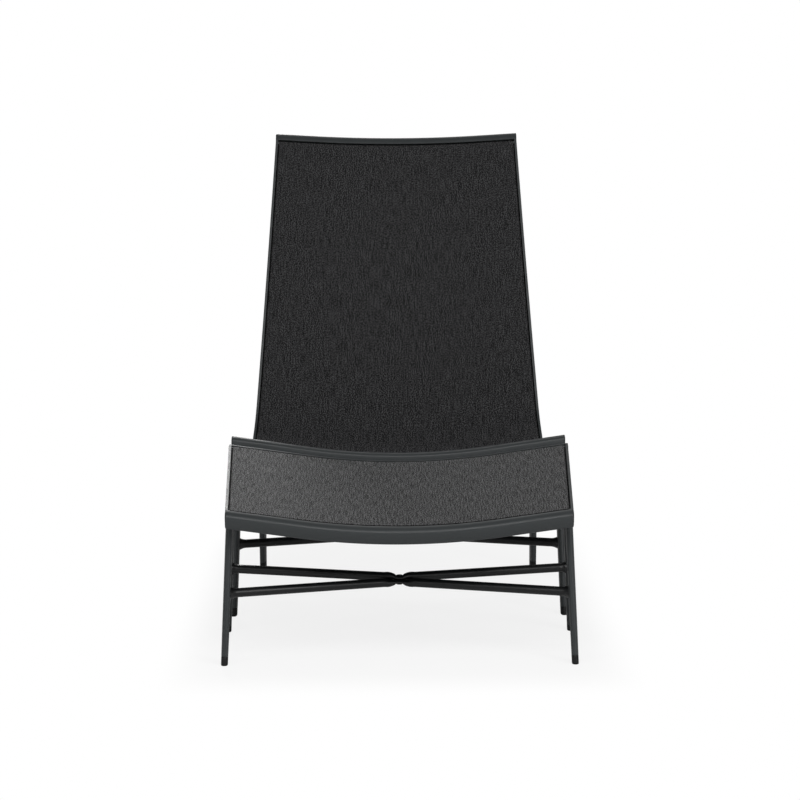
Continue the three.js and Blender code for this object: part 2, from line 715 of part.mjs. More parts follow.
function buildFootstool() {
  const profile = stoolProfile();
  const group = panel("footstool", profile, { near: "front", far: "rear" });
  const legs = {
    front: { run: stoolFrontLegSetback, footY: stoolFrontFootSetback, spread: stoolFrontFootSpread },
    rear: { run: stoolRearLegSetback, footY: stoolRearFootSetback, spread: stoolRearFootSpread },
  };
  const heights = { height: stoolStretcherHeight, crossing: stoolCrossingHeight };
  group.add(underframe("footstool", profile, legs, heights));
  return group;
}

// The set, with its origin on the floor in the middle of its box
function buildSet() {
  const group = new THREE.Group();
  const chair = buildChair();
  chair.position.y = setSpacing;
  group.add(chair, buildFootstool());
  const box = new THREE.Box3().setFromObject(group, true);
  const middle = box.getCenter(new THREE.Vector3());
  group.position.set(-middle.x, -middle.y, -box.min.z);
  return group;
}

export default buildSet();
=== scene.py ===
"""Looks of a sling lounge chair and its footstool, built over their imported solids.

Lengths are in metres. +Z is up, +X is across, and both pieces of furniture face -Y.
"""

import math

import bmesh
import bpy
from bpy.props import FloatProperty, FloatVectorProperty, IntProperty, PointerProperty
from bpy.types import Operator, Panel, PropertyGroup
from mathutils import Matrix, Vector


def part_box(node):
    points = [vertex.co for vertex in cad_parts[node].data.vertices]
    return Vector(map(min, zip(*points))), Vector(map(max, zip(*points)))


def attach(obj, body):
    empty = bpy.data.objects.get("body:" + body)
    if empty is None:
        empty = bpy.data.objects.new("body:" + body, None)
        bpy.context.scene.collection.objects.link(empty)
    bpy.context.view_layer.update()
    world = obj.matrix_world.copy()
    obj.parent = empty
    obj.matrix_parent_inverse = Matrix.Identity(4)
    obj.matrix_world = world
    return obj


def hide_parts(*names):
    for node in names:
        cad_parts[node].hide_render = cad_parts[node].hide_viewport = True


bl_info = {
    "name": "Sling Lounge Chair and Footstool",
    "version": (1, 0, 0),
    "blender": (4, 5, 0),
    "location": "3D View > Sidebar > Sling Chair",
    "description": "Builds a sling lounge chair with its footstool over their solids",
    "category": "Add Mesh",
}

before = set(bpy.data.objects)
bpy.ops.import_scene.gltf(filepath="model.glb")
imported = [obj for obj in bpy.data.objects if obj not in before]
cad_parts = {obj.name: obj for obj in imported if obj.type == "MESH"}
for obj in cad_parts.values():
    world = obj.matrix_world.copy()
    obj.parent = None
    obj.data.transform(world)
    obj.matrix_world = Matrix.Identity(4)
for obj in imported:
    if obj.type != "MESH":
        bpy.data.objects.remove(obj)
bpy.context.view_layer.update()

GAP = 0.0003  # clearance between two pieces that touch
TINY = 1e-6  # two lengths that differ by less are the same
HANDS = {"left": -1, "right": 1}
ROWS = ("front", "rear")
ENDS = {"chair": ("front", "top"), "footstool": ("front", "rear")}  # each one's cross rails, from the front
HOOK_END = math.radians(354)  # how far round the spline a hem's hook reaches

# how many steps each curved or swept stretch is drawn with
STEPS = {"straight": 12, "seat": 10, "bend": 26, "back": 22, "bow": 28, "spreader": 40, "cloth": 30,
         "pocket": 16, "lip": 7, "belly": 20, "brow": 18, "chin": 12, "roll": 6, "hook": 18,
         "tube": 32, "swell": 14, "arm": 8, "flare": 8, "cord": 14}


def linear(code):
    """Turns an sRGB hex colour into linear red, green and blue."""
    values = [int(code[i : i + 2], 16) / 255 for i in (0, 2, 4)]
    return tuple(v / 12.92 if v <= 0.04045 else ((v + 0.055) / 1.055) ** 2.4 for v in values)


def length(name, value, description):
    """A property for a length in metres."""
    return FloatProperty(name=name, description=description, default=value, unit="LENGTH", precision=5)


def angle(name, degrees, description):
    """A property for an angle, given in degrees."""
    return FloatProperty(name=name, description=description, default=math.radians(degrees), subtype="ANGLE")


def share(name, value, description):
    """A property for a plain number."""
    return FloatProperty(name=name, description=description, default=value, precision=3)


def power(name, watts, description):
    """A property for a lamp's power."""
    return FloatProperty(name=name, description=description, default=watts, unit="POWER")


def colour(name, code, description):
    """A property for a colour, given as sRGB hex."""
    return FloatVectorProperty(name=name, description=description, default=linear(code), size=3,
                               min=0, max=1, subtype="COLOR")


class ChairSizes(PropertyGroup):
    """Side line, widths and legs of the chair."""

    seat_height: length("Seat Front Height", 0.4085, "Height of the side rail's top at the front face")
    seat_length: length("Seat Length", 0.540, "From the front face to the corner of seat and back")
    seat_fall: angle("Seat Fall", 13, "Fall of the seat towards the back")
    bend_radius: length("Bend Radius", 0.180, "Radius of the rail's bend between seat and back")
    back_length: length("Back Length", 0.8502, "From the corner of seat and back to the top edge")
    back_lean: angle("Back Lean", 25, "Lean of the back from upright")
    half_front: length("Half Width at Front", 0.368, "Half the width over the rails at the front")
    half_bend: length("Half Width at Bend", 0.3448, "Half the width at the corner of seat and back")
    half_waist: length("Half Width at Waist", 0.3187, "Draws the back's side edges inwards")
    half_top: length("Half Width at Top", 0.2979, "Half the width at the top edge")
    front_leg_run: length("Front Leg Run", 0.104, "Along the rail to the front leg")
    rear_leg_run: length("Rear Leg Run", 0.640, "Along the rail to the rear leg")
    front_foot: length("Front Foot Setback", 0.030, "From the front face to the front foot")
    rear_foot: length("Rear Foot Setback", 0.663, "From the front face to the rear foot")
    front_spread: length("Front Foot Spread", 0.0128, "How far a front foot stands out from its rail")
    rear_spread: length("Rear Foot Spread", 0.0002, "How far a rear foot stands out from its rail")
    arm_height: length("Stretcher Height", 0.155, "Height of the stretchers at the legs")
    crossing: length("Crossing Height", 0.135, "Height at which the stretchers cross")
    spreader_run: length("Spreader Run", 0.560, "Along the rail to the spreader bar")
    spreader_drop: length("Spreader Drop", 0.021, "From the rail's top to the bar's middle")
    spreader_belly: length("Spreader Belly", 0.014, "Further drop of the bar in its middle")
    spreader_high: length("Spreader Half Height", 0.0065, "Half the bar's height")
    spreader_deep: length("Spreader Half Depth", 0.013, "Half the bar's depth")


class FootstoolSizes(PropertyGroup):
    """Side line, widths and legs of the footstool."""

    seat_height: length("Front Height", 0.3198, "Height of the side rail's top at the front face")
    seat_length: length("Length", 0.481, "From the front face to the rear face")
    rise: angle("Rise", 10.1, "Rise of the panel towards the chair")
    half_front: length("Half Width at Front", 0.3506, "Half the width over the rails at the front")
    half_rear: length("Half Width at Rear", 0.3676, "Half the width over the rails at the rear")
    front_leg_run: length("Front Leg Run", 0.105, "Along the rail to the front leg")
    rear_leg_run: length("Rear Leg Run", 0.345, "Along the rail to the rear leg")
    front_foot: length("Front Foot Setback", 0.053, "From the front face to the front foot")
    rear_foot: length("Rear Foot Setback", 0.410, "From the front face to the rear foot")
    front_spread: length("Front Foot Spread", 0.0122, "How far a front foot stands out from its rail")
    rear_spread: length("Rear Foot Spread", 0.0162, "How far a rear foot stands out from its rail")
    arm_height: length("Stretcher Height", 0.1425, "Height of the stretchers at the legs")
    crossing: length("Crossing Height", 0.1435, "Height at which the stretchers cross")


class RailSizes(PropertyGroup):
    """Sections of the grooved rails and of the sling's hems in them."""

    bow_radius: length("Bow Radius", 1.424, "Radius of the bow in the cross rails")
    bow_half: length("Bow Half Span", 0.205, "Half the width of the bowed middle part")
    side_width: length("Side Rail Width", 0.017, "Width of a side rail")
    side_height: length("Side Rail Height", 0.034, "Height of a side rail")
    side_lip: length("Side Lip", 0.0056, "Width of the side rail's lip outside its groove")
    side_round: length("Side Lip Round", 0.002, "Round on the lip's outer corner")
    cross_depth: length("Cross Rail Depth", 0.030, "Depth of a cross rail")
    cross_height: length("Cross Rail Height", 0.035, "Height of a cross rail")
    cross_lip: length("Cross Lip", 0.020, "Width of the cross rail's lip outside its groove")
    crest_drop: length("Crest Drop", 0.012, "From the lip's top to the crest of the rounded face")
    foot_inset: length("Foot Inset", 0.008, "From the crest back to the flat underside")
    foot_width: length("Foot Width", 0.016, "Width of the flat underside")
    heel_round: length("Heel Round", 0.004, "Slope at the inner lower edge")
    cap_dome: length("Cap Dome", 0.0018, "How far an end cap's dome stands out")
    neck_width: length("Neck Width", 0.0046, "Width of the groove's mouth")
    neck_clearance: length("Neck Clearance", 0.0004, "Between the hem and the groove's inner wall")
    pocket_drop: length("Pocket Drop", 0.0094, "From the lip's top to the middle of the groove's pocket")
    pocket_clearance: length("Pocket Clearance", 0.00045, "Between the hem and the pocket")
    spline_radius: length("Spline Radius", 0.002, "Radius of the cord that holds a hem")
    fabric: length("Fabric Thickness", 0.0012, "Thickness of the sling")
    sink: length("Sling Sink", 0.0009, "How far the sling lies below the lip's top")
    roll: length("Hem Roll", 0.003, "Radius at which the fabric turns down into the groove")
    edge: length("Edge Softening", 0.00045, "Round on the sharp edges of the extrusions")
    side_hem: length("Side Hem", 0.020, "Cloth beyond the rails' width for each side hem")
    end_hems: length("End Hems", 0.020, "Cloth beyond the rails' length for both end hems")


class BladeSizes(PropertyGroup):
    """Oval blade legs and their glides."""

    head_inset: length("Head Inset", 0.0087, "From the rail's outer face to the middle of the leg's head")
    squareness: share("Squareness", 3.0, "2 is an ellipse; more makes the sides flatter and the ends blunter")
    chord_top: length("Chord at Rail", 0.042, "Depth of the blade at the rail")
    chord_foot: length("Chord at Floor", 0.032, "Depth of the blade at the floor")
    thick_top: length("Thickness at Rail", 0.0154, "Thickness of the blade at the rail")
    thick_ankle: length("Thickness at Ankle", 0.015, "Thickness of the blade at its ankle")
    thick_foot: length("Thickness at Floor", 0.0142, "Thickness of the blade at the floor")
    ankle: length("Ankle Height", 0.070, "Where the taper of the foot starts")
    lap: length("Rail Lap", 0.009, "How far a leg laps up the rail")
    glide: length("Glide Height", 0.0164, "Height of the black foot")
    glide_round: length("Glide Round", 0.0014, "Round on the lower edge of the black foot")
    seam: length("Glide Seam", 0.0004, "Depth of the shadow line between leg and foot")
    sides: IntProperty(name="Sides", description="Faces round a blade", default=48, min=8)
    rings: IntProperty(name="Rings", description="Faces along a blade, a multiple of 4", default=16, min=4)


class TubeSizes(PropertyGroup):
    """Stretcher tubes and the fastener at their crossing."""

    radius: length("Tube Radius", 0.0095, "Radius of a stretcher tube")
    flare_radius: length("Flare Radius", 0.013, "Radius of the trumpet end at a leg")
    flare_length: length("Flare Length", 0.013, "Length of the trumpet end")
    pinch_high: length("Pinch Half Height", 0.0044, "Half the height of the flattened middle")
    pinch_wide: length("Pinch Half Width", 0.0115, "Half the width of the flattened middle")
    pinch_flat: length("Pinch Half Flat", 0.0075, "Half the length of the flat")
    pinch_end: length("Pinch End", 0.032, "From the middle to where the tube is round again")
    swell: share("Pinch Swell", 0.6, "Power of the swelling between flat and round")
    split: length("Tube Split", 0.005, "From the crossing's height to a tube's middle")
    ease: share("Crossing Ease", 0.85, "Keeps the two swellings clear of each other")
    bolt_radius: length("Bolt Radius", 0.003, "Radius of the bolt's shank")
    head_radius: length("Bolt Head Radius", 0.0065, "Radius of the bolt's domed head")
    head_height: length("Bolt Head Height", 0.001, "Height of the bolt's domed head")
    nut_radius: length("Nut Radius", 0.0066, "Radius of the nut over its corners")
    nut_height: length("Nut Height", 0.001, "Height of the nut")


class Finishes(PropertyGroup):
    """Colours of the materials."""

    frame_paint: colour("Frame Paint", "313435", "Powder coat on rails and legs")
    # painted shade: the stretchers' colour is darker than the frame's, partly to stand in for the shade they
    # lie in under the seats
    tube_paint_and_shade: colour("Tube Paint", "0d0e0f", "Powder coat on the stretchers")
    cap: colour("Cap Plastic", "2d3031", "Moulded end caps")
    glide: colour("Glide Rubber", "0d0e0f", "Black feet")
    spline: colour("Spline Plastic", "101011", "Cord in the groove")
    bolt: colour("Bolt Steel", "26282a", "Blackened bolt and nut")
    cloth_dark: colour("Sling Dark Threads", "0d0d0d", "Dark threads of the sling")
    cloth_mid: colour("Sling Middle Threads", "181819", "Middle threads of the sling")
    cloth_light: colour("Sling Light Threads", "2c2c2e", "Light threads of the sling")
    floor: colour("Studio Floor", "f4f4f4", "Matt paper under the furniture")


class StageSizes(PropertyGroup):
    """Camera, floor and studio lamps."""

    eye: FloatVectorProperty(name="Camera Place", description="Where the camera stands", size=3,
                             default=(-0.0176, -6.3734, 1.1734), subtype="TRANSLATION")
    lens: FloatProperty(name="Lens", description="Focal length in millimetres on a 36 mm sensor",
                        default=127.305)
    pitch: angle("Camera Pitch", 6.354, "How far the camera looks down")
    yaw: angle("Camera Yaw", -0.20, "How far the camera turns to its left")
    roll: angle("Camera Roll", -0.223, "How far the camera leans")
    floor: length("Floor Size", 40.0, "Side of the floor")
    patch_across: length("Floor Patch Half Width", 0.40, "Half the width of the floor that shows its shade")
    patch_along: length("Floor Patch Half Length", 0.82, "Half the length of the floor that shows its shade")
    patch_round: share("Floor Patch Round", 0.3, "How round the corners of the patch are")
    fade_start: share("Floor Fade Start", 0.95, "Share of the patch at which the floor starts to turn white")
    fade: share("Floor Fade", 1.25, "Share of the patch at which the floor has turned into plain white")
    floor_glow: share("Floor White", 0.83, "How much of the patch's look is plain white")
    fill: share("Fill Level", 0.175, "How bright the plain surroundings light the furniture")
    top_front: power("Overhead Front Lamp", 70, "Power of the softbox above and in front of the footstool")
    top_rear: power("Overhead Rear Lamp", 11, "Power of the softbox above and behind the back")
    front_left: power("Front Left Lamp", 44, "Power of the softbox in front on the left")
    front_right: power("Front Right Lamp", 100, "Power of the softbox in front on the right")
    rear_left: power("Rear Left Lamp", 62, "Power of the small softbox behind on the left, for a sheen")


GROUPS = {
    "sling_chair": ChairSizes,
    "sling_footstool": FootstoolSizes,
    "sling_rails": RailSizes,
    "sling_blades": BladeSizes,
    "sling_tubes": TubeSizes,
    "sling_finishes": Finishes,
    "sling_stage": StageSizes,
}


def sizes(name):
    """One of the scene's property groups."""
    return getattr(bpy.context.scene, "sling_" + name)


def lerp(a, b, t):
    return a + (b - a) * t


def clamp(value, low=0.0, high=1.0):
    return max(low, min(high, value))


def round_turns(count):
    """Angles of equal steps round a full turn."""
    return [2 * math.pi * i / count for i in range(count)]


def arc(middle, radius, start, end, count):
    """Points of an arc in a section's plane, angles in radians."""
    turns = [lerp(start, end, i / count) for i in range(count + 1)]
    return [(middle[0] + radius * math.cos(t), middle[1] + radius * math.sin(t)) for t in turns]


def bezier(a, b, c, d, count):
    """Points of a cubic curve in a section's plane."""
    def at(t):
        return tuple((1 - t) ** 3 * a[k] + 3 * (1 - t) ** 2 * t * b[k] + 3 * (1 - t) * t * t * c[k]
                     + t ** 3 * d[k] for k in (0, 1))
    return [at(i / count) for i in range(count + 1)]


# Lines that the rails follow


def bow_slope():
    """Slope of a cross rail beside its bowed middle part."""
    return sizes("rails").bow_half / sizes("rails").bow_radius


def bow(x):
    """Height of the cross rails' bow above its middle."""
    rails = sizes("rails")
    distance = abs(x)
    if distance <= rails.bow_half:
        return distance ** 2 / (2 * rails.bow_radius)
    slope = bow_slope()
    return rails.bow_half * slope / 2 + (distance - rails.bow_half) * slope


class Line:
    """A side line in the frame's place: the chair's seat and back, or the footstool's one run."""

    def __init__(self, prefix):
        own = sizes(prefix)
        self.prefix = prefix
        self.own = own
        if prefix == "chair":
            self.turn = own.seat_fall + math.radians(90) - own.back_lean
            tangent = own.bend_radius * math.tan(self.turn / 2)
            self.first = -own.seat_fall
            self.flat = own.seat_length - tangent
            self.bent = own.bend_radius * self.turn
            self.length = self.flat + self.bent + own.back_length - tangent
        else:
            self.turn, self.bent = 0.0, 0.0
            self.first = own.rise
            self.flat = self.length = own.seat_length
        # the frame's bolt says where the stretchers cross, and so where the front is
        low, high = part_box(prefix + "_crossing_bolt")
        self.crossing_y = (low.y + high.y) / 2
        self.front_y = 0.0
        arms = [self.axis_at(self.leg(row, 1), own.arm_height) for row in ROWS]
        self.front_y = self.crossing_y - sum(arm.y for arm in arms) / 2

    def at(self, run):
        """Point on the rail's top, the way along it and the way up from it."""
        # a straight line has no turn, so any radius does for it
        radius = self.own.bend_radius if self.bent else 1.0
        turned = self.first + clamp((run - self.flat) / radius, 0, self.turn)
        along = Vector((0, math.cos(turned), math.sin(turned)))
        normal = Vector((0, -along.z, along.y))
        first = Vector((0, math.cos(self.first), math.sin(self.first)))
        point = Vector((0, self.front_y, self.own.seat_height))
        if run <= self.flat:
            return point + first * run, along, normal
        up = Vector((0, -first.z, first.y))
        point += first * self.flat + (up - normal) * radius
        return point + along * max(0.0, run - self.flat - self.bent), along, normal

    def half(self, run):
        """Half the width over the rails."""
        own = self.own
        if self.prefix == "footstool":
            return lerp(own.half_front, own.half_rear, run / self.length)
        part = (run - own.seat_length) / (self.length - own.seat_length)
        if part <= 0:
            return lerp(own.half_front, own.half_bend, run / own.seat_length)
        return lerp(lerp(own.half_bend, own.half_waist, part), lerp(own.half_waist, own.half_top, part), part)

    def stations(self, start, end):
        """Runs at which a sweep has its rings."""
        if not self.bent:
            return [lerp(start, end, i / STEPS["straight"]) for i in range(STEPS["straight"] + 1)]
        seat = [lerp(start, self.flat, i / STEPS["seat"]) for i in range(STEPS["seat"])]
        bend = [self.flat + self.bent * i / STEPS["bend"] for i in range(STEPS["bend"] + 1)]
        back = [lerp(self.flat + self.bent, end, i / STEPS["back"]) for i in range(1, STEPS["back"] + 1)]
        return seat + bend + back

    def leg(self, row, hand):
        """Head and foot of a leg's middle line, with the ways of its chord and thickness."""
        own, rails = self.own, sizes("rails")
        run, foot_y = getattr(own, row + "_leg_run"), getattr(own, row + "_foot")
        point, _, normal = self.at(run)
        x = self.half(run) - sizes("blades").head_inset
        head = point - normal * (rails.side_height / 2)
        head.x = hand * x
        foot = Vector((hand * (x + getattr(own, row + "_spread")), self.front_y + foot_y, 0))
        axis = (head - foot).normalized()
        step = 0.002  # a short way along the rail, which gives its direction
        way = self.at(run + step)[0] - point
        way = Vector((hand * (self.half(run + step) - self.half(run)), way.y, 0)).normalized()
        chord = (way - axis * way.dot(axis)).normalized()
        return {"head": head, "foot": foot, "chord": chord, "thick": axis.cross(chord),
                "rail": point, "normal": normal, "tall": (head - foot).length}

    @staticmethod
    def axis_at(leg, height):
        return leg["foot"].lerp(leg["head"], height / leg["head"].z)


def lines():
    """The side lines of the chair and of the footstool."""
    return [Line(prefix) for prefix in ENDS]


def legs():
    """Each leg, with its line and the name of its corner."""
    return [(line, f"{row}_{side}", line.leg(row, hand))
            for line in lines() for row in ROWS for side, hand in HANDS.items()]


def ends_of(line):
    """The two ends of a side line, where the cross rails lie: their caps end flush with the side rails."""
    rails = sizes("rails")
    made = {}
    for name, run, inwards in zip(ENDS[line.prefix], (0.0, line.length), (1, -1)):
        point, along, normal = line.at(run)
        level = line.half(run)
        half = max(level, line.half(run + inwards * rails.cross_depth)) - rails.cap_dome - GAP
        made[name] = {"point": point, "along": along, "normal": normal,
                      "inwards": inwards, "level": level, "half": half}
    return made


# Sections


def land():
    """How far the rail's inner edge lies below its lip, to clear the sling."""
    rails = sizes("rails")
    return rails.sink + rails.fabric + GAP


def groove(lip):
    """The groove from the lip's inner edge round the pocket and up to the inner land."""
    rails = sizes("rails")
    radius = rails.spline_radius + GAP + rails.fabric + rails.pocket_clearance
    middle = (lip + rails.neck_width / 2, -rails.pocket_drop)
    mouth = math.acos(rails.neck_width / 2 / radius)
    pocket = arc(middle, radius, math.pi - mouth, 2 * math.pi + mouth, STEPS["pocket"])
    return [(lip, 0), *pocket, (lip + rails.neck_width, -land())]


def fallen(points):
    """Side rail tops follow the bow, so they fall inwards."""
    return [(x, y - bow_slope() * x) for x, y in points]


def lip_corner():
    """The round on a side rail's outer top corner."""
    edge = sizes("rails").side_round
    return arc((edge, -edge), edge, math.pi, math.pi / 2, STEPS["lip"])


def side_section():
    """Side rail: x is in from the outer face, y is up from the top of the lip."""
    rails = sizes("rails")
    half = rails.side_width / 2
    bottom = arc((half, half - rails.side_height), half, 0, -math.pi, STEPS["belly"])
    return fallen([*lip_corner(), *groove(rails.side_lip), (rails.side_width, -land())]) + bottom


def cross_section(grooved=True):
    """Cross rail: x is in from the crest of the rounded face, y is up from the lip's top."""
    rails = sizes("rails")
    crest = (0, -rails.crest_drop)
    quarter = arc((0, 0), 1, math.pi, math.pi / 2, STEPS["brow"])
    brow = [(rails.cross_lip * (1 + x), rails.crest_drop * (y - 1)) for x, y in quarter]
    foot = (rails.foot_inset, -rails.cross_height)
    mid = -(rails.cross_height + rails.crest_drop) / 2
    chin = bezier(foot, (foot[0] / 2, foot[1]), (0, mid), crest, STEPS["chin"])
    heel = [(rails.cross_depth, -rails.cross_height + rails.heel_round),
            (rails.foot_inset + rails.foot_width, -rails.cross_height)]
    step = groove(rails.cross_lip)[1:] if grooved else [(rails.cross_lip, -land())]
    return [*chin[:-1], *brow, *step, (rails.cross_depth, -land()), *heel]


def strip():
    """From the lip to the outer side of the hem in the groove's neck."""
    rails = sizes("rails")
    return rails.neck_width - rails.neck_clearance - rails.fabric


def hem_path(lip):
    """Outer side of a hem: its hook round the spline and up the neck, and its roll onto the sheet.

    A point is its distance in from the rail's outer side and its drop below the sheet."""
    rails = sizes("rails")
    outer = lip + strip()
    roll = arc((outer + rails.roll, -rails.roll), rails.roll, math.pi, math.pi / 2, STEPS["roll"])
    middle = (lip + rails.neck_width / 2, -rails.pocket_drop + rails.sink)
    radius = rails.spline_radius + GAP + rails.fabric
    hook = arc(middle, radius, HOOK_END, math.acos((outer - middle[0]) / radius), STEPS["hook"])
    return [(x, -y) for x, y in hook], [(x, -y) for x, y in roll]


def blade_section(leg, high):
    """Half the chord and half the thickness of a blade, at a share of the way up its leg."""
    blades = sizes("blades")
    ankle = blades.ankle / leg["tall"]
    chord = lerp(blades.chord_foot, blades.chord_top, high)
    if high < ankle:
        thick = lerp(blades.thick_foot, blades.thick_ankle, high / ankle)
    else:
        thick = lerp(blades.thick_ankle, blades.thick_top, (high - ankle) / (1 - ankle))
    return chord / 2, thick / 2


# Meshes


def piece_from(name, vertices, faces, material):
    """A mesh object, added to the scene."""
    shape = bpy.data.meshes.new(name)
    shape.from_pydata([tuple(v) for v in vertices], [], faces)
    shape.validate()
    piece = bpy.data.objects.new(name, shape)
    bpy.context.scene.collection.objects.link(piece)
    shape.materials.append(material)
    return piece


def shade(piece, degrees=35):
    """Shades a piece smooth, apart from its edges that are sharper than an angle."""
    piece.data.shade_smooth()
    piece.data.set_sharp_from_angle(angle=math.radians(degrees))
    return piece


def volume(vertices, faces):
    """Six times the signed volume, which is above 0 where faces point outwards."""
    total = 0.0
    for face in faces:
        a = vertices[face[0]]
        for i in range(1, len(face) - 1):
            total += a.dot(vertices[face[i]].cross(vertices[face[i + 1]]))
    return total


def loft(rings, closed=True):
    """Vertices and faces of a closed solid through rings that have equally many points."""
    count = len(rings[0])
    vertices = [point for ring in rings for point in ring]
    faces = []
    for r in range(len(rings) - 1):
        for i in range(count):
            a, b = r * count + i, r * count + (i + 1) % count
            faces.append((a, b, b + count, a + count))
    if closed:
        last = (len(rings) - 1) * count
        faces.append(tuple(reversed(range(count))))
        faces.append(tuple(range(last, last + count)))
    if volume(vertices, faces) < 0:
        faces = [tuple(reversed(face)) for face in faces]
    return vertices, faces


def close_seam(piece):
    """Joins the doubled ring of a part that closes on itself."""
    shape = bmesh.new()
    shape.from_mesh(piece.data)
    bmesh.ops.remove_doubles(shape, verts=shape.verts, dist=TINY)
    bmesh.ops.recalc_face_normals(shape, faces=shape.faces)
    shape.to_mesh(piece.data)
    shape.free()
    return piece


def soften(piece, width, segments=2, degrees=38):
    """Rounds the edges of a piece that are sharper than an angle."""
    bevel = piece.modifiers.new("soft edges", "BEVEL")
    bevel.width = width
    bevel.segments = segments
    bevel.limit_method = "ANGLE"
    bevel.angle_limit = math.radians(degrees)
    bevel.harden_normals = True


def settle(piece):
    """Turns a piece's evaluated shape into its plain mesh and takes the modifiers off."""
    evaluated = piece.evaluated_get(bpy.context.evaluated_depsgraph_get())
    shape = bpy.data.meshes.new_from_object(evaluated)
    piece.modifiers.clear()
    old, piece.data = piece.data, shape
    shape.name = piece.name
    bpy.data.meshes.remove(old)
    return piece


def stand_for(piece, slot, *nodes):
    """Gives a finished piece to the body, in the place of its solids."""
    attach(piece, "root")
    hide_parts(*nodes)


def side_ring(line, section, run, hand):
    """A ring of a side rail's section at a run along its line."""
    point, _, normal = line.at(run)
    ring = []
    for x, y in section:
        place = point + normal * y
        place.x = hand * (line.half(run) - x)
        ring.append(place)
    return ring


def cross_ring(end, section, x):
    """A ring of a cross rail's section at a distance from the middle plane."""
    rails = sizes("rails")
    lean = math.atan(math.copysign(min(abs(x), rails.bow_half), x) / rails.bow_radius)
    square = abs(x) > rails.bow_half + TINY
    drop = bow(end["level"]) - bow(x)
    ring = []
    for px, py in section:
        height = py / math.cos(lean) if square else py * math.cos(lean)
        place = end["point"] + end["along"] * (end["inwards"] * px) + end["normal"] * (height - drop)
        place.x = x if square else x - py * math.sin(lean)
        ring.append(place)
    return ring


def bow_stations(half):
    """Places across a bowed piece, with one at each end of its arc."""
    span = sizes("rails").bow_half
    middle = [lerp(-span, span, i / STEPS["bow"]) for i in range(STEPS["bow"] + 1)]
    return [-half, lerp(-half, -span, 0.5), *middle, lerp(span, half, 0.5), half]


# Node trees


def feed(tree, made, links):
    """Sets a node's inputs, each to a value, to an output, or to a node's first output in use."""
    for key, value in links.items():
        if isinstance(value, bpy.types.Node):
            value = next(output for output in value.outputs if output.enabled)
        if isinstance(value, bpy.types.NodeSocket):
            tree.links.new(value, made.inputs[key])
        else:
            made.inputs[key].default_value = value
    return made


def node(tree, kind, links=None, **settings):
    """Adds a node with its settings and links."""
    made = tree.nodes.new(kind)
    for key, value in settings.items():
        setattr(made, key, value)
    return feed(tree, made, links or {})


def geometry_tree(name, inputs):
    """An empty geometry tree with named inputs, each given as its kind and default."""
    tree = bpy.data.node_groups.new(name, "GeometryNodeTree")
    tree.interface.new_socket("Geometry", in_out="INPUT", socket_type="NodeSocketGeometry")
    tree.interface.new_socket("Geometry", in_out="OUTPUT", socket_type="NodeSocketGeometry")
    for label, (kind, default) in inputs.items():
        socket = tree.interface.new_socket(label, in_out="INPUT", socket_type="NodeSocket" + kind)
        if default is not None:
            socket.default_value = default
    return tree, node(tree, "NodeGroupInput").outputs


def finish_tree(tree, geometry, given):
    """Ends a geometry tree in real, plain geometry with its material."""
    real = node(tree, "GeometryNodeRealizeInstances", {0: geometry})
    dressed = node(tree, "GeometryNodeSetMaterial", {"Geometry": real, "Material": given["Material"]})
    node(tree, "NodeGroupOutput", {0: dressed})
    return tree


def grow(name, tree, values, points=()):
    """Builds a plain piece from a geometry tree, with its inputs set before it is first evaluated."""
    shape = bpy.data.meshes.new(name)
    shape.from_pydata([tuple(p) for p in points], [(i, i + 1) for i in range(len(points) - 1)], [])
    piece = bpy.data.objects.new(name, shape)
    modifier = piece.modifiers.new("shape", "NODES")
    modifier.node_group = tree
    known = {s.name: s.identifier for s in tree.interface.items_tree if s.in_out == "INPUT"}
    for label, value in values.items():
        modifier[known[label]] = tuple(value) if isinstance(value, Vector) else value
    bpy.context.scene.collection.objects.link(piece)
    return shade(settle(piece))


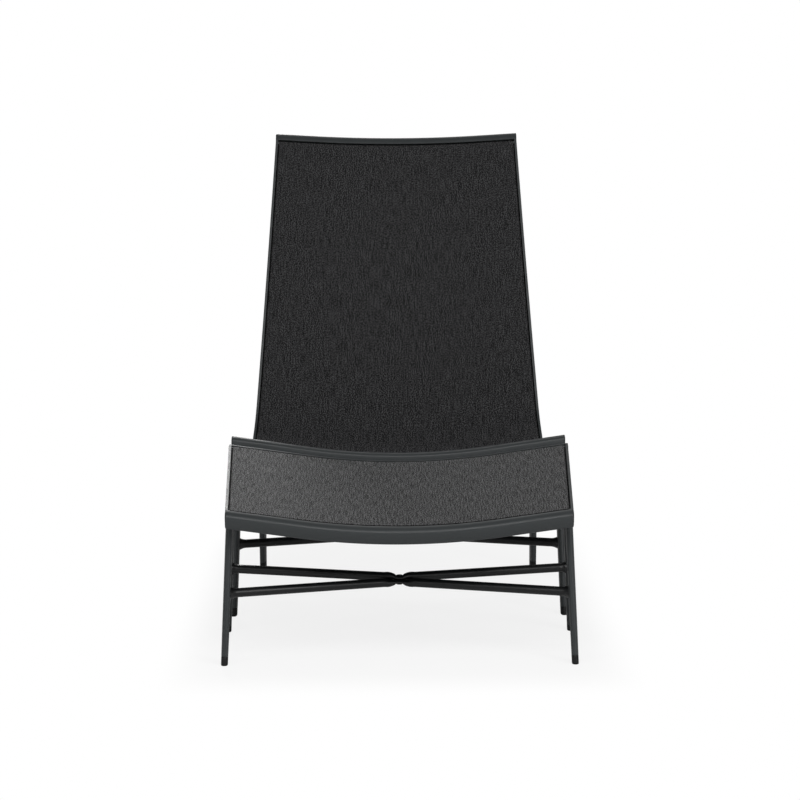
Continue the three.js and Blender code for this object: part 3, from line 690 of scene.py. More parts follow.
def blade_tree():
    """A tapered flat oval blade from its foot to where a plane copes it.

    A section is its half chord, its half thickness and its share of the way up the leg."""
    vector = ("Vector", (0.0, 0.0, 0.0))
    tree, given = geometry_tree("tapered blade", {
        "Foot": vector, "Head": vector, "Chord Way": vector, "Thickness Way": vector,
        "Lower Section": vector, "Ankle Section": vector, "Head Section": vector,
        "Lap Point": vector, "Lap Normal": vector, "Power": ("Float", 0.667),
        "Sides": ("Int", 48), "Rings": ("Int", 16), "Material": ("Material", None)})
    plain, spatial, split = "ShaderNodeMath", "ShaderNodeVectorMath", "ShaderNodeSeparateXYZ"
    body = node(tree, "GeometryNodeMeshCylinder",
                {"Vertices": given["Sides"], "Side Segments": given["Rings"], "Radius": 1.0, "Depth": 1.0},
                fill_type="NGON")
    x, y, z = node(tree, split, {0: node(tree, "GeometryNodeInputPosition")}).outputs

    def pressed(place):
        """A place on a round, pressed out to a flat oval."""
        distance = node(tree, plain, {0: place}, operation="ABSOLUTE")
        distance = node(tree, plain, {0: distance, 1: given["Power"]}, operation="POWER")
        sign = node(tree, plain, {0: place}, operation="SIGN")
        return node(tree, plain, {0: sign, 1: distance}, operation="MULTIPLY")

    wide, deep = pressed(x), pressed(y)
    leg = node(tree, spatial, {0: given["Head"], 1: given["Foot"]}, operation="SUBTRACT")

    def point_at(section):
        """The point of the oval at a section."""
        chord, thick, high = node(tree, split, {0: given[section]}).outputs
        risen = node(tree, spatial, {0: leg, "Scale": high}, operation="SCALE")
        point = node(tree, spatial, {0: given["Foot"], 1: risen}, operation="ADD")
        for way, place, half in (("Chord Way", wide, chord), ("Thickness Way", deep, thick)):
            reach = node(tree, plain, {0: place, 1: half}, operation="MULTIPLY")
            aside = node(tree, spatial, {0: given[way], "Scale": reach}, operation="SCALE")
            point = node(tree, spatial, {0: point, 1: aside}, operation="ADD")
        return point

    low, ankle, head = (point_at(name) for name in ("Lower Section", "Ankle Section", "Head Section"))
    lower = node(tree, spatial, {0: ankle, 1: low}, operation="SUBTRACT")
    upper = node(tree, spatial, {0: head, 1: ankle}, operation="SUBTRACT")
    # the upper stretch ends where it meets the plane under the rail
    to_plane = node(tree, spatial, {0: given["Lap Point"], 1: ankle}, operation="SUBTRACT")
    left = node(tree, spatial, {0: to_plane, 1: given["Lap Normal"]}, operation="DOT_PRODUCT")
    gained = node(tree, spatial, {0: upper, 1: given["Lap Normal"]}, operation="DOT_PRODUCT")
    coped = node(tree, plain, {0: left, 1: gained}, operation="DIVIDE")
    # a quarter of the cylinder's rings lie below the ankle
    below = node(tree, "ShaderNodeMapRange", {"Value": z, "From Min": -0.5, "From Max": -0.25})
    above = node(tree, "ShaderNodeMapRange", {"Value": z, "From Min": -0.25, "From Max": 0.5})
    above = node(tree, plain, {0: above, 1: coped}, operation="MULTIPLY")
    found = low
    for stretch, part in ((lower, below), (upper, above)):
        gone = node(tree, spatial, {0: stretch, "Scale": part}, operation="SCALE")
        found = node(tree, spatial, {0: found, 1: gone}, operation="ADD")
    moved = node(tree, "GeometryNodeSetPosition", {"Geometry": body, "Position": found})
    return finish_tree(tree, moved, given)


def cord_tree():
    """A round cord along a row of points."""
    tree, given = geometry_tree("round cord", {
        "Radius": ("Float", 0.002), "Sides": ("Int", 14), "Material": ("Material", None)})
    path = node(tree, "GeometryNodeMeshToCurve", {"Mesh": given["Geometry"]})
    ring = node(tree, "GeometryNodeCurvePrimitiveCircle",
                {"Resolution": given["Sides"], "Radius": given["Radius"]})
    swept = node(tree, "GeometryNodeCurveToMesh", {"Curve": path, "Profile Curve": ring, "Fill Caps": True})
    return finish_tree(tree, swept, given)


# Materials


def surface(name, base, roughness, **values):
    """A new material with its tree and its main shader, which has these values where nothing drives them."""
    made = bpy.data.materials.new(name)
    made.use_nodes = True
    tree = made.node_tree
    shader = tree.nodes["Principled BSDF"]
    return made, tree, feed(tree, shader, {"Base Color": (*base, 1), "Roughness": roughness, **values})


def powder_coat(name, base, roughness, specular):
    """Polyester powder coat on metal: satin, with the fine orange peel of cured powder."""
    made, tree, shader = surface(name, base, roughness, **{"Specular IOR Level": specular})
    place = node(tree, "ShaderNodeTexCoord").outputs["Object"]
    # cured powder has grains of about 0.8 mm, and its gloss drifts over some 40 mm
    grains_per_metre, drifts_per_metre = 1200.0, 25.0
    tone_spread = 0.18
    peel = node(tree, "ShaderNodeTexNoise", {"Vector": place, "Scale": grains_per_metre, "Detail": 2.0})
    drift = node(tree, "ShaderNodeTexNoise", {"Vector": place, "Scale": drifts_per_metre, "Detail": 3.0})
    bump = node(tree, "ShaderNodeBump", {"Height": peel, "Strength": 0.25, "Distance": 0.0001})
    gloss = node(tree, "ShaderNodeMapRange", {"Value": drift, "From Min": 0.3, "From Max": 0.7,
                                              "To Min": roughness - 0.05, "To Max": roughness + 0.06})
    dark, light = ((*[s * v for v in base], 1) for s in (1 - tone_spread, 1 + tone_spread))
    tone = node(tree, "ShaderNodeMix", {0: peel, "A": dark, "B": light}, data_type="RGBA")
    feed(tree, shader, {"Base Color": tone, "Roughness": gloss, "Normal": bump})
    return made


def moulded_plastic(name, base, roughness):
    """Moulded plastic: a soft sheen over the fine spark-eroded grain of the mould."""
    made, tree, shader = surface(name, base, roughness, **{"Specular IOR Level": 0.3})
    place = node(tree, "ShaderNodeTexCoord").outputs["Object"]
    # the mould's grain is about 0.4 mm, and handling scuffs it in patches of about 6 mm
    grains_per_metre, scuffs_per_metre = 2500.0, 180.0
    grain = node(tree, "ShaderNodeTexVoronoi", {"Vector": place, "Scale": grains_per_metre})
    scuff = node(tree, "ShaderNodeTexNoise", {"Vector": place, "Scale": scuffs_per_metre, "Detail": 4.0})
    bump = node(tree, "ShaderNodeBump", {"Height": grain, "Strength": 0.3, "Distance": 0.00008})
    gloss = node(tree, "ShaderNodeMapRange", {"Value": scuff, "From Min": 0.35, "From Max": 0.65,
                                              "To Min": roughness - 0.06, "To Max": roughness + 0.1})
    feed(tree, shader, {"Roughness": gloss, "Normal": bump})
    return made


def blackened_steel(name, base):
    """Black zinc on steel: dark metal with a fine turned grain."""
    made, tree, shader = surface(name, base, 0.35, Metallic=1.0)
    place = node(tree, "ShaderNodeTexCoord").outputs["Object"]
    # turning marks are about 0.3 mm apart
    marks_per_metre = 3000.0
    marks = node(tree, "ShaderNodeTexNoise", {"Vector": place, "Scale": marks_per_metre, "Detail": 1.0})
    bump = node(tree, "ShaderNodeBump", {"Height": marks, "Strength": 0.2, "Distance": 0.00005})
    feed(tree, shader, {"Normal": bump})
    return made


def sling_weave():
    """Coated polyester mesh: heathered threads that run along the sling, with a dry sheen.

    Its UV map holds metres across and along the cloth."""
    tones = sizes("finishes")
    made, tree, shader = surface("vinyl_coated_polyester_weave", tones.cloth_mid, 0.75,
                                 **{"Specular IOR Level": 0.25, "Sheen Weight": 0.25, "Sheen Roughness": 0.5})
    plain = "ShaderNodeMath"
    cloth = node(tree, "ShaderNodeUVMap", uv_map="cloth")
    # real threads are 0.6 mm wide, too fine for the picture: the heather is drawn 2 mm wide, in flecks of
    # 2 mm, glints of 5 mm and streaks of 40 mm along the sling
    # a pattern is its cells to the metre across and along, and its shift in cells
    flecks, glints, streaks = (400.0, 460.0, 0.0), (480.0, 200.0, 7.0), (520.0, 26.0, 13.0)
    noises = []
    for across, along, shift in (flecks, glints, streaks):
        place = node(tree, "ShaderNodeMapping", {"Vector": cloth, "Scale": (across, along, 1.0),
                                                 "Location": (shift, 2 * shift, 0.0)})
        noises.append(node(tree, "ShaderNodeTexNoise", {"Vector": place, "Scale": 1.0, "Detail": 1.0},
                           noise_dimensions="2D"))

    def blend(*shares):
        """Adds up flecks, glints and streaks round 0.5, each with its share."""
        total = 0.5 * (1 - sum(shares))
        for noise, part in zip(noises, shares):
            total = node(tree, plain, {0: noise, 1: part, 2: total}, operation="MULTIPLY_ADD")
        return total

    heather, proud = blend(2.0, 0.0, 0.45), blend(1.3, 0.8, 0.6)
    ramp = node(tree, "ShaderNodeValToRGB", {0: heather})
    stops = ramp.color_ramp.elements
    all_dark, all_light = 0.34, 0.66  # heather below and above which the threads are plain dark and light
    stops[0].position, stops[0].color = all_dark, (*tones.cloth_dark, 1)
    stops[1].position, stops[1].color = all_light, (*tones.cloth_light, 1)
    stops.new(0.5).color = (*tones.cloth_mid, 1)
    # painted shade: where the hems roll down into the groove, a point attribute darkens their colour and
    # shine, taking nearly all of their light, in place of the groove's real shade
    painted_shade_strength = 0.93
    painted_shade = node(tree, "ShaderNodeAttribute", attribute_name="groove_shade").outputs["Fac"]
    painted_shade_factor = node(tree, plain, {0: painted_shade, 1: -painted_shade_strength, 2: 1.0}, operation="MULTIPLY_ADD")
    tone = node(tree, "ShaderNodeVectorMath", {0: ramp, "Scale": painted_shade_factor}, operation="SCALE")
    # the light threads stand proud and shine, the dark ones lie in the shade of their neighbours; the painted
    # groove shade dims this shine as well
    sunk, raised = 0.40, 0.74
    for gloss, low, high in (("Specular IOR Level", 0.07, 0.60), ("Sheen Weight", 0.05, 0.46)):
        shine = node(tree, "ShaderNodeMapRange", {"Value": proud, "From Min": sunk, "From Max": raised,
                                                  "To Min": low, "To Max": high})
        feed(tree, shader, {gloss: node(tree, plain, {0: shine, 1: painted_shade_factor}, operation="MULTIPLY")})
    # a plain weave of coated yarns, drawn 2 mm apart each way
    pitch, weave_share = 0.002, 0.25
    waves = []
    for way in node(tree, "ShaderNodeSeparateXYZ", {0: cloth}).outputs[:2]:
        turned = node(tree, plain, {0: way, 1: math.pi / pitch}, operation="MULTIPLY")
        waves.append(node(tree, plain, {0: turned}, operation="SINE"))
    weave = node(tree, plain, {0: waves[0], 1: waves[1]}, operation="MULTIPLY")
    height = node(tree, plain, {0: weave, 1: weave_share, 2: heather}, operation="MULTIPLY_ADD")
    bump = node(tree, "ShaderNodeBump", {"Height": height, "Strength": 0.3, "Distance": 0.00015})
    feed(tree, shader, {"Base Color": tone, "Normal": bump})
    return made


def frame_paint():
    """The paint of rails, legs and spreader bar, made once."""
    name, tone = "satin_powder_coated_aluminium", sizes("finishes").frame_paint
    return bpy.data.materials.get(name) or powder_coat(name, tone, roughness=0.4, specular=0.3)


# Operators


class SLINGSET_OT_rails(Operator):
    """Build the grooved side rails and cross rails of both pieces of furniture"""

    bl_idname = "slingset.rails"
    bl_label = "Rails"

    def execute(self, context):
        rails = sizes("rails")
        start = rails.cross_depth + GAP
        reach = rails.cross_lip + GAP
        floor = GAP - land()
        tongue = fallen([*lip_corner(), (rails.side_lip, 0), (rails.side_lip, floor), (0, floor)])
        for line in lines():
            prefix = line.prefix
            for side, hand in HANDS.items():
                runs = line.stations(start, line.length - start)
                parts = [loft([side_ring(line, side_section(), run, hand) for run in runs])]
                # the lip runs on as a tongue over each cross rail's inner side
                for ends in ((reach, start - GAP), (line.length - start + GAP, line.length - reach)):
                    parts.append(loft([side_ring(line, tongue, run, hand) for run in ends]))
                vertices, faces = [], []
                for points, polygons in parts:
                    faces += [tuple(i + len(vertices) for i in face) for face in polygons]
                    vertices += points
                rail = piece_from(f"{prefix}_{side}_rail", vertices, faces, frame_paint())
                soften(shade(rail), rails.edge)
                stand_for(rail, "frame", f"{prefix}_side_rail_{side}")
            for name, end in ends_of(line).items():
                rings = [cross_ring(end, cross_section(), x) for x in bow_stations(end["half"])]
                rail = piece_from(f"{prefix}_{name}_cross_rail", *loft(rings), frame_paint())
                soften(shade(rail), rails.edge)
                stand_for(rail, "frame", f"{prefix}_{name}_rail")
        return {"FINISHED"}


class SLINGSET_OT_end_caps(Operator):
    """Build the domed caps on the ends of the cross rails"""

    bl_idname = "slingset.end_caps"
    bl_label = "End Caps"

    # shares of the outline at which the dome has its rings, and how flat its middle is
    RINGS = (1, 0.985, 0.96, 0.92, 0.86, 0.76, 0.6, 0.4, 0.2, 0.05)
    FLATNESS = 6

    def execute(self, context):
        rails = sizes("rails")
        plastic = moulded_plastic("satin_moulded_nylon_cap", sizes("finishes").cap, roughness=0.5)
        outline = cross_section(grooved=False)
        mid_x, mid_y = rails.cross_depth / 2, -rails.cross_height / 2
        for line in lines():
            for name, end in ends_of(line).items():
                for side, hand in HANDS.items():
                    rings = []
                    for s in self.RINGS:
                        out = end["half"] + GAP + rails.cap_dome * math.sqrt(1 - s ** self.FLATNESS)
                        shrunk = [(mid_x + (x - mid_x) * s, mid_y + (y - mid_y) * s) for x, y in outline]
                        rings.append(cross_ring(end, shrunk, hand * out))
                    cap = piece_from(f"{line.prefix}_{name}_{side}_end_cap", *loft(rings), plastic)
                    stand_for(shade(cap, degrees=50), "cap", f"{line.prefix}_{name}_cap_{side}")
        return {"FINISHED"}


class SLINGSET_OT_legs(Operator):
    """Build the oval blade legs"""

    bl_idname = "slingset.legs"
    bl_label = "Blade Legs"

    def execute(self, context):
        blades, rails = sizes("blades"), sizes("rails")
        tree = blade_tree()
        for line, corner, leg in legs():
            heights = {"Lower Section": (blades.glide + GAP / 3) / leg["tall"],
                       "Ankle Section": blades.ankle / leg["tall"], "Head Section": 1.0}
            sections = {label: (*blade_section(leg, high), high) for label, high in heights.items()}
            blade = grow(f"{line.prefix}_{corner}_leg", tree, {
                "Foot": leg["foot"], "Head": leg["head"], "Chord Way": leg["chord"],
                "Thickness Way": leg["thick"], **sections, "Lap Normal": leg["normal"],
                "Lap Point": leg["rail"] - leg["normal"] * (rails.side_height - blades.lap),
                "Power": 2 / blades.squareness, "Sides": blades.sides, "Rings": blades.rings,
                "Material": frame_paint()})
            soften(blade, blades.seam)
            stand_for(blade, "frame", f"{line.prefix}_leg_{corner}")
        return {"FINISHED"}


class SLINGSET_OT_glides(Operator):
    """Build the black feet, flat on the floor"""

    bl_idname = "slingset.glides"
    bl_label = "Glides"

    STRAIGHT_FROM = 0.35  # share of a glide's height from which it is plain blade

    def execute(self, context):
        blades = sizes("blades")
        rubber = moulded_plastic("black_moulded_polyethylene_glide", sizes("finishes").glide, roughness=0.6)
        flat = 2 / blades.squareness
        ovals = [[math.copysign(abs(v) ** flat, v) for v in (math.cos(t), math.sin(t))]
                 for t in round_turns(blades.sides)]
        for line, corner, leg in legs():
            top = blades.glide / leg["tall"]

            def ring(high, inset=0.0):
                """The blade's outline at a share of the way up its leg."""
                chord, thick = (half - inset for half in blade_section(leg, high))
                middle = leg["foot"].lerp(leg["head"], high)
                return [middle + leg["chord"] * (chord * u) + leg["thick"] * (thick * v) for u, v in ovals]

            def level(height, inset):
                """The blade's outline where a level plane cuts it."""
                pairs = zip(ring(0.0, inset), ring(top, inset))
                return [a + (b - a) * ((height - a.z) / (b.z - a.z)) for a, b in pairs]

            # the rounded lower edge lies level on the floor, and the rest follows the blade
            turns = [math.radians(degrees) for degrees in (0, 30, 60, 90)]
            rings = [level(blades.glide_round * (1 - math.cos(t)), blades.glide_round * (1 - math.sin(t)))
                     for t in turns]
            rings += [ring(lerp(self.STRAIGHT_FROM, 1.0, i / 3) * top) for i in range(3)]
            rings += [ring(top - blades.seam / leg["tall"]), ring(top, blades.seam)]
            glide = piece_from(f"{line.prefix}_{corner}_foot", *loft(rings), rubber)
            stand_for(shade(glide, degrees=50), "glide", f"{line.prefix}_glide_{corner}")
        return {"FINISHED"}


class SLINGSET_OT_stretchers(Operator):
    """Build the bent stretcher tubes, pinched flat where they cross"""

    bl_idname = "slingset.stretchers"
    bl_label = "Stretchers"

    CROWDING = 1.6  # crowds the rings towards the flat, where the tube changes fastest

    def execute(self, context):
        tubes, blades = sizes("tubes"), sizes("blades")
        # painted shade: this dark coat partly stands in for the shade under the seats, besides the tubes' own
        # paint
        paint = powder_coat("black_powder_coated_steel_tube", sizes("finishes").tube_paint_and_shade,
                            roughness=0.38, specular=0.36)
        swell, arm, flared = STEPS["swell"], STEPS["arm"], STEPS["flare"]
        for line in lines():
            for row, level in zip(ROWS, (-1, 1)):
                start = line.axis_at(line.leg(row, 1), line.own.arm_height)
                reach = abs(start.x)
                slope = (line.crossing_y - start.y) / reach
                face = reach - blades.thick_top / 2

                def ring(x):
                    far = abs(x)
                    opened = clamp((far - tubes.pinch_flat) / (tubes.pinch_end - tubes.pinch_flat))
                    swollen = opened ** tubes.swell
                    bend = math.hypot(far, tubes.pinch_flat) - tubes.pinch_flat
                    flare = clamp((far - face + tubes.flare_length) / tubes.flare_length)
                    radius = lerp(tubes.radius, tubes.flare_radius, flare ** 2)
                    lean = slope * min(1, far / tubes.pinch_end)
                    high = lerp(tubes.pinch_high, radius, swollen)
                    wide = lerp(tubes.pinch_wide, radius, swollen) * math.hypot(1, lean)
                    # the two tubes lie on each other at the crossing and part as they bend away
                    besides = min(1, tubes.ease * abs(slope) * bend / wide)
                    touching = high * math.sqrt(1 - besides ** 2) + GAP / 2
                    split = max(touching, tubes.split * opened)
                    y = line.crossing_y - slope * bend
                    z = lerp(line.own.crossing + level * split, line.own.arm_height, far / reach)
                    return [Vector((x, y + wide * math.cos(t), z + high * math.sin(t)))
                            for t in round_turns(STEPS["tube"])]

                half = [tubes.pinch_flat / 2]
                half += [lerp(tubes.pinch_flat, tubes.pinch_end, (i / swell) ** self.CROWDING)
                         for i in range(swell + 1)]
                half += [lerp(tubes.pinch_end, face - tubes.flare_length, i / arm) for i in range(1, arm)]
                half += [face - tubes.flare_length * (1 - i / flared) for i in range(flared + 1)]
                half.append(reach)
                rings = [ring(x) for x in [*(-x for x in reversed(half)), 0.0, *half]]
                tube = piece_from(f"{line.prefix}_{row}_stretcher_tube", *loft(rings), paint)
                stand_for(shade(tube, degrees=50), "stretcher", f"{line.prefix}_stretcher_{row}")
        return {"FINISHED"}


class SLINGSET_OT_fasteners(Operator):
    """Build the bolt and the nut at each crossing of the stretchers"""

    bl_idname = "slingset.fasteners"
    bl_label = "Crossing Bolts"

    SIDES = 24
    HEXAGON = 6
    DOME = (0, 15, 30, 45, 58)  # degrees up the head's dome at which it has its rings
    DOME_FOOT = 0.25  # share of the head's height that is upright, below its dome
    SOCKET = 0.46  # share of the head's radius that its hexagon socket takes
    SOCKET_LEVELS = (0.85, 0.3)  # shares of the head's height at which the socket starts and ends
    TIP = 0.85  # share of the shank's radius at its tip
    TIP_HEIGHT = 0.0004
    NUT_FACE = 0.86  # share of the nut's radius over its corners at which its faces are chamfered

    def execute(self, context):
        tubes = sizes("tubes")
        steel = blackened_steel("black_zinc_plated_steel", sizes("finishes").bolt)
        # from the crossing to the head: half the gap between the tubes, a flattened tube and the next gap
        stack = 2 * tubes.pinch_high + 1.5 * GAP
        for line in lines():
            middle = Vector((0, line.crossing_y, line.own.crossing))

            def ring(radius, height, corners=0):
                """A ring round the bolt's axis, drawn out to corners where it has any."""
                made = []
                for t in round_turns(self.SIDES):
                    out = radius
                    if corners:
                        part = math.pi / corners
                        out = radius * math.cos(part) / math.cos((t % (2 * part)) - part)
                    made.append(middle + Vector((out * math.cos(t), out * math.sin(t), height)))
                return made

            base, shank = -stack - tubes.nut_height, tubes.bolt_radius
            rings = [ring(shank * self.TIP, base), ring(shank, base + self.TIP_HEIGHT), ring(shank, stack),
                     ring(tubes.head_radius, stack)]
            for turn in (math.radians(degrees) for degrees in self.DOME):
                rise = tubes.head_height * lerp(self.DOME_FOOT, 1, math.sin(turn))
                rings.append(ring(tubes.head_radius * math.cos(turn), stack + rise))
            rings += [ring(tubes.head_radius * self.SOCKET, stack + tubes.head_height * s, self.HEXAGON)
                      for s in self.SOCKET_LEVELS]
            bolt = piece_from(f"{line.prefix}_crossing_screw", *loft(rings), steel)
            stand_for(shade(bolt, degrees=30), "bolt", line.prefix + "_crossing_bolt")

            bore = shank + GAP / 2
            soft = tubes.nut_height / 5
            chamfered = tubes.nut_radius * self.NUT_FACE
            lower = [ring(bore, base + soft), ring(bore + soft, base), ring(chamfered, base)]
            hexagon = [ring(tubes.nut_radius, height, self.HEXAGON)
                       for height in (base + 2 * soft, -stack - 2 * soft)]
            upper = [ring(chamfered, -stack), ring(bore + soft, -stack), ring(bore, -stack - soft)]
            rings = [*lower, *hexagon, *upper, lower[0]]
            nut = piece_from(f"{line.prefix}_crossing_hex_nut", *loft(rings, closed=False), steel)
            stand_for(shade(close_seam(nut), degrees=30), "bolt", line.prefix + "_crossing_nut")
        return {"FINISHED"}


class SLINGSET_OT_spreader(Operator):
    """Build the bar that spreads the chair's side rails under the sling"""

    bl_idname = "slingset.spreader"
    bl_label = "Spreader Bar"

    def execute(self, context):
        line = Line("chair")
        own, count = line.own, STEPS["spreader"]
        point, along, normal = line.at(own.spreader_run)
        half = line.half(own.spreader_run) - sizes("rails").side_width / 2
        rings = []
        for x in (lerp(-half, half, i / count) for i in range(count + 1)):
            drop = own.spreader_drop + bow(half) - bow(x) + own.spreader_belly * (1 - (x / half) ** 2)
            middle = point - normal * drop
            middle.x = x
            rings.append([middle + along * own.spreader_deep * math.cos(t)
                          + normal * own.spreader_high * math.sin(t) for t in round_turns(STEPS["tube"])])
        bar = piece_from("chair_spreader_tube", *loft(rings), frame_paint())
        stand_for(shade(bar, degrees=50), "frame", "chair_spreader_bar")
        return {"FINISHED"}


class SLINGSET_OT_splines(Operator):
    """Build the cords that hold the sling's hems in the grooves"""

    bl_idname = "slingset.splines"
    bl_label = "Splines"

    def execute(self, context):
        rails = sizes("rails")
        # extruded vinyl has the same soft sheen as moulded plastic
        cord = moulded_plastic("black_extruded_vinyl_spline", sizes("finishes").spline, roughness=0.55)
        tree = cord_tree()
        values = {"Radius": rails.spline_radius, "Sides": STEPS["cord"], "Material": cord}
        inset = rails.cross_depth + 2 * GAP
        side_middle = fallen([(rails.side_lip + rails.neck_width / 2, -rails.pocket_drop)])
        cross_middle = [(rails.cross_lip + rails.neck_width / 2, -rails.pocket_drop)]
        for line in lines():
            runs = line.stations(inset, line.length - inset)
            paths = {side: [side_ring(line, side_middle, run, hand)[0] for run in runs]
                     for side, hand in HANDS.items()}
            for name, end in ends_of(line).items():
                places = bow_stations(end["half"] - rails.side_lip - strip())
                paths[name] = [cross_ring(end, cross_middle, x)[0] for x in places]
            for name, points in paths.items():
                piece = grow(f"{line.prefix}_{name}_spline_cord", tree, values, points)
                stand_for(piece, "spline", f"{line.prefix}_spline_{name}")
        return {"FINISHED"}


def sling_points(line):
    """Points of a sling and its rows of their numbers, by column.

    A point is its place, its place on the flat cloth and how much painted groove shade darkens it."""
    rails = sizes("rails")
    hooked_from = rails.cross_depth + 2 * GAP
    inner = rails.side_lip + strip() + rails.roll
    flat_from = rails.cross_lip + strip() + rails.roll
    painted_shade_end = flat_from + 0.003  # painted shade: this much of the flat cloth behind the front rail's lip is darkened in full, as if in the lip's shade
    end_painted_shade_depth, side_painted_shade_depth = 0.0015, 0.00625  # drops at which the hems get the full painted shade
    plain_from = hooked_from + 0.004  # the sheet's even rows start this far in from where its hooks start

    # a row is its run, its drop and whether it is in a hook, and a column its distance in, drop and hook
    end_hook, end_roll = hem_path(rails.cross_lip)
    edge = [(*place, True) for place in end_hook] + [(*place, False) for place in end_roll[:-1]]
    edge += [(flat_from, 0.0, False), (painted_shade_end, 0.0, False)]
    runs = {hooked_from, line.length - hooked_from, *line.stations(plain_from, line.length - plain_from)}
    rows = edge + [(run, 0.0, False) for run in sorted(runs)]
    rows += [(line.length - run, drop, hook) for run, drop, hook in reversed(edge)]
    side_hook, side_roll = hem_path(rails.side_lip)
    columns = [(*place, True) for place in side_hook] + [(*place, False) for place in side_roll[:-1]]
    shares = [i / STEPS["cloth"] for i in range(-STEPS["cloth"], STEPS["cloth"] + 1)]

    points, numbers = [], []
    for run, drop, end_hooked in rows:
        half = line.half(run)
        across = [(inset - half, sag, hook) for inset, sag, hook in columns]
        across += [(part * (half - inner), 0.0, False) for part in shares]
        across += [(half - inset, sag, hook) for inset, sag, hook in reversed(columns)]
        inside = hooked_from - TINY <= run <= line.length - hooked_from + TINY
        point, _, normal = line.at(clamp(run, 0, line.length))
        along = run - drop if run < line.length / 2 else run + drop
        row = {}
        for j, (x, sag, hook) in enumerate(across):
            # the side hooks stop short of the end hooks
            if hook and (end_hooked or not inside):
                continue
            spot = point + normal * (bow(x) - bow(half) - rails.sink - (drop + sag))
            spot.x = x
            painted_shade = 1.0 if run < painted_shade_end - TINY else clamp(max(drop / end_painted_shade_depth, sag / side_painted_shade_depth))
            row[j] = len(points)
            points.append((spot, (x + math.copysign(sag, x), along), painted_shade))
        numbers.append(row)
    return points, numbers


class SLINGSET_OT_slings(Operator):
    """Build the stretched slings, whose hems roll into the grooves and hook round the splines"""

    bl_idname = "slingset.slings"
    bl_label = "Slings"

    def execute(self, context):
        rails = sizes("rails")
        weave = sling_weave()
        for line in lines():
            prefix = line.prefix
            points, rows = sling_points(line)
            vertices, marks, painted_shades = zip(*points)
            faces = [(lower[j], lower[j + 1], upper[j + 1], upper[j]) for lower, upper in zip(rows, rows[1:])
                     for j in lower if j + 1 in lower and j in upper and j + 1 in upper]
            cloth = shade(piece_from(prefix + "_cloth_sling", vertices, faces, weave), degrees=70)
            layer = cloth.data.uv_layers.new(name="cloth")
            for loop in cloth.data.loops:
                layer.data[loop.index].uv = marks[loop.vertex_index]
            # painted shade: each point's darkening in the groove, which the weave's material reads
            attribute = cloth.data.attributes.new("groove_shade", "FLOAT", "POINT")
            attribute.data.foreach_set("value", painted_shades)
            body = cloth.modifiers.new("fabric", "SOLIDIFY")
            body.thickness = rails.fabric
            body.offset = -1.0
            body.use_even_offset = True
            stand_for(cloth, "sling", prefix + "_sling")
            width = 2 * line.half(0) + 2 * rails.side_hem
            rests = [f"{prefix}_{side}_rail" for side in HANDS]
            rests += [f"{prefix}_{name}_cross_rail" for name in ENDS[prefix]]
        return {"FINISHED"}


def studio_floor():
    """White paper: a patch of it shows the furniture's shade, and fades into plain white."""
    stage = sizes("stage")
    paper = bpy.data.materials.new("matt_white_studio_floor")
    paper.use_nodes = True
    tree = paper.node_tree
    tree.nodes.clear()
    place = node(tree, "ShaderNodeTexCoord").outputs["Object"]
    span = (1 / stage.patch_across, 1 / stage.patch_along, 0)
    shares = node(tree, "ShaderNodeVectorMath", {0: place, 1: span}, operation="MULTIPLY")
    shares = node(tree, "ShaderNodeVectorMath", {0: shares}, operation="ABSOLUTE")
    sides = node(tree, "ShaderNodeSeparateXYZ", {0: shares}).outputs
    far = node(tree, "ShaderNodeMath", {0: sides["X"], 1: sides["Y"], 2: stage.patch_round},
               operation="SMOOTH_MAX")
    glow = node(tree, "ShaderNodeMapRange", {
        "Value": far, "From Min": stage.fade_start, "From Max": stage.fade,
        "To Min": stage.floor_glow, "To Max": 1.0}, interpolation_type="SMOOTHSTEP")
    camera_ray = node(tree, "ShaderNodeLightPath").outputs["Is Camera Ray"]
    seen = node(tree, "ShaderNodeMath", {0: camera_ray, 1: glow}, operation="MULTIPLY")
    matt = node(tree, "ShaderNodeBsdfDiffuse", {"Color": (*sizes("finishes").floor, 1)})
    white = node(tree, "ShaderNodeEmission", {"Color": (1, 1, 1, 1), "Strength": 1.0})
    mixed = node(tree, "ShaderNodeMixShader", {0: seen, 1: matt, 2: white})
    node(tree, "ShaderNodeOutputMaterial", {0: mixed})
    half = stage.floor / 2
    corners = [(-half, -half, 0), (half, -half, 0), (half, half, 0), (-half, half, 0)]
    return piece_from("studio_floor", corners, [(0, 1, 2, 3)], paper)


def surroundings():
    """A world that is white to the camera and lights the furniture with the plain fill."""
    world = bpy.data.worlds.new("plain studio surroundings")
    world.use_nodes = True
    tree = world.node_tree
    tree.nodes.clear()
    seen = node(tree, "ShaderNodeLightPath").outputs["Is Camera Ray"]
    fill, plain = (node(tree, "ShaderNodeBackground", {"Color": (1, 1, 1, 1), "Strength": strength})
                   for strength in (sizes("stage").fill, 1.0))
    mixed = node(tree, "ShaderNodeMixShader", {0: seen, 1: fill, 2: plain})
    node(tree, "ShaderNodeOutputWorld", {0: mixed})
    return world


def softbox(name, spot, aim, span, watts):
    """A lamp that the camera doesn't see."""
    lamp = bpy.data.lights.new(name, "AREA")
    lamp.shape = "RECTANGLE"
    lamp.size, lamp.size_y = span
    lamp.energy = watts
    holder = bpy.data.objects.new(name, lamp)
    holder.location = spot
    holder.rotation_euler = (Vector(aim) - Vector(spot)).to_track_quat("-Z", "Y").to_euler()
    holder.visible_camera = False
    return holder


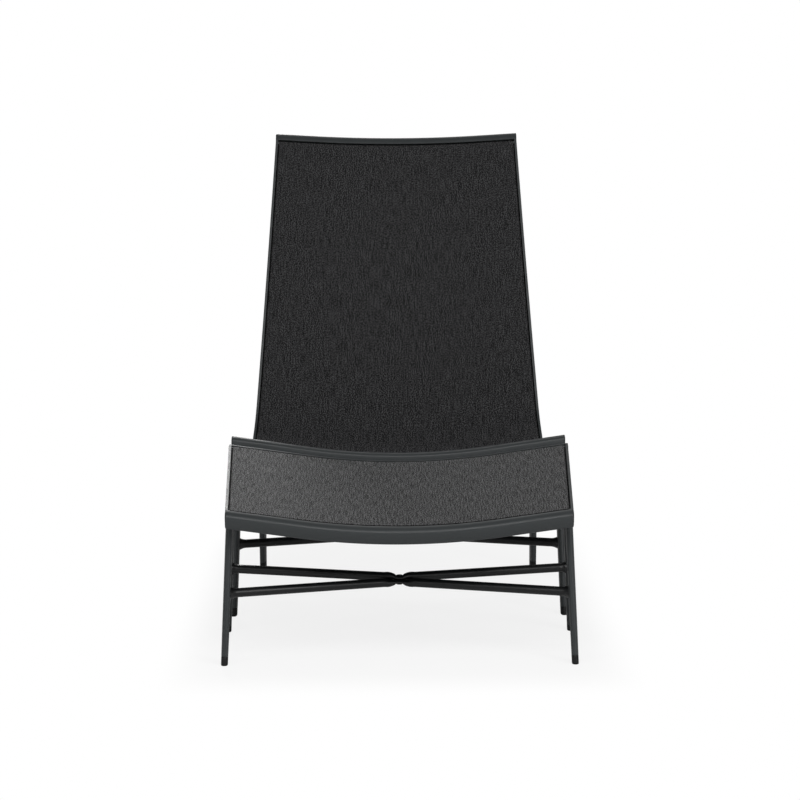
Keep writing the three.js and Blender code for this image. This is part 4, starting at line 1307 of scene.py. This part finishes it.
def photo_view():
    """The camera, at the place from which the photograph shows the furniture."""
    stage = sizes("stage")
    view = bpy.data.cameras.new("photo_view")
    view.sensor_width = 36
    view.lens = stage.lens
    view.clip_end = 100
    camera = bpy.data.objects.new("photo_view", view)
    right = Vector((math.cos(stage.yaw), math.sin(stage.yaw), 0))
    level = Vector((-math.sin(stage.yaw), math.cos(stage.yaw), 0))
    ahead = level * math.cos(stage.pitch) - Vector((0, 0, math.sin(stage.pitch)))
    above = right.cross(ahead)
    lean_right = right * math.cos(stage.roll) + above * math.sin(stage.roll)
    lean_up = above * math.cos(stage.roll) - right * math.sin(stage.roll)
    turned = Matrix((lean_right, lean_up, -ahead)).transposed().to_4x4()
    camera.matrix_world = Matrix.Translation(stage.eye) @ turned
    return camera


class SLINGSET_OT_stage(Operator):
    """Set the floor, the soft studio lamps, the surroundings and the camera"""

    bl_idname = "slingset.stage"
    bl_label = "Stage"

    def execute(self, context):
        scene, stage = context.scene, sizes("stage")
        scene.view_settings.view_transform = "Standard"
        studio_floor()
        scene.world = surroundings()
        middle = (0, 0, 0.4)  # of the furniture, which most lamps face
        # a softbox is its place, what it faces, its width and height, and its power
        softboxes = {
            "overhead_front_softbox": ((0, -3.4, 3.6), middle, (2.4, 1.4), stage.top_front),
            "overhead_rear_softbox": ((0, 2.6, 3.2), middle, (2.0, 1.5), stage.top_rear),
            "front_left_softbox": ((-2.8, -4.2, 2.4), middle, (2.0, 2.0), stage.front_left),
            "front_right_softbox": ((2.8, -4.2, 2.4), middle, (2.0, 2.0), stage.front_right),
            "rear_left_softbox": ((-0.9, 4.5, 2.5), (-0.3, -0.5, 0.4), (0.9, 0.9), stage.rear_left),
        }
        for name, values in softboxes.items():
            scene.collection.objects.link(softbox(name, *values))
        scene.camera = photo_view()
        scene.collection.objects.link(scene.camera)
        return {"FINISHED"}


OPERATORS = (SLINGSET_OT_stage, SLINGSET_OT_rails, SLINGSET_OT_end_caps, SLINGSET_OT_legs, SLINGSET_OT_glides,
             SLINGSET_OT_stretchers, SLINGSET_OT_fasteners, SLINGSET_OT_spreader, SLINGSET_OT_splines,
             SLINGSET_OT_slings)


class SLINGSET_PT_panel(Panel):
    """Lists the pieces of the sling chair and its footstool"""

    bl_label = "Sling Chair"
    bl_idname = "SLINGSET_PT_panel"
    bl_space_type = "VIEW_3D"
    bl_region_type = "UI"
    bl_category = "Sling Chair"

    def draw(self, context):
        for operator in OPERATORS:
            self.layout.operator(operator.bl_idname)
        for name, group in GROUPS.items():
            column = self.layout.column()
            for key in group.__annotations__:
                column.prop(getattr(context.scene, name), key)


def register():
    for kind in (*GROUPS.values(), *OPERATORS, SLINGSET_PT_panel):
        bpy.utils.register_class(kind)
    for name, group in GROUPS.items():
        setattr(bpy.types.Scene, name, PointerProperty(type=group))


def unregister():
    for name in GROUPS:
        delattr(bpy.types.Scene, name)
    for kind in (SLINGSET_PT_panel, *reversed(OPERATORS), *reversed(list(GROUPS.values()))):
        bpy.utils.unregister_class(kind)


def main():
    register()
    for operator in OPERATORS:
        group, name = operator.bl_idname.split(".")
        getattr(getattr(bpy.ops, group), name)()
    bpy.context.view_layer.update()


if __name__ == "__main__":
    main()
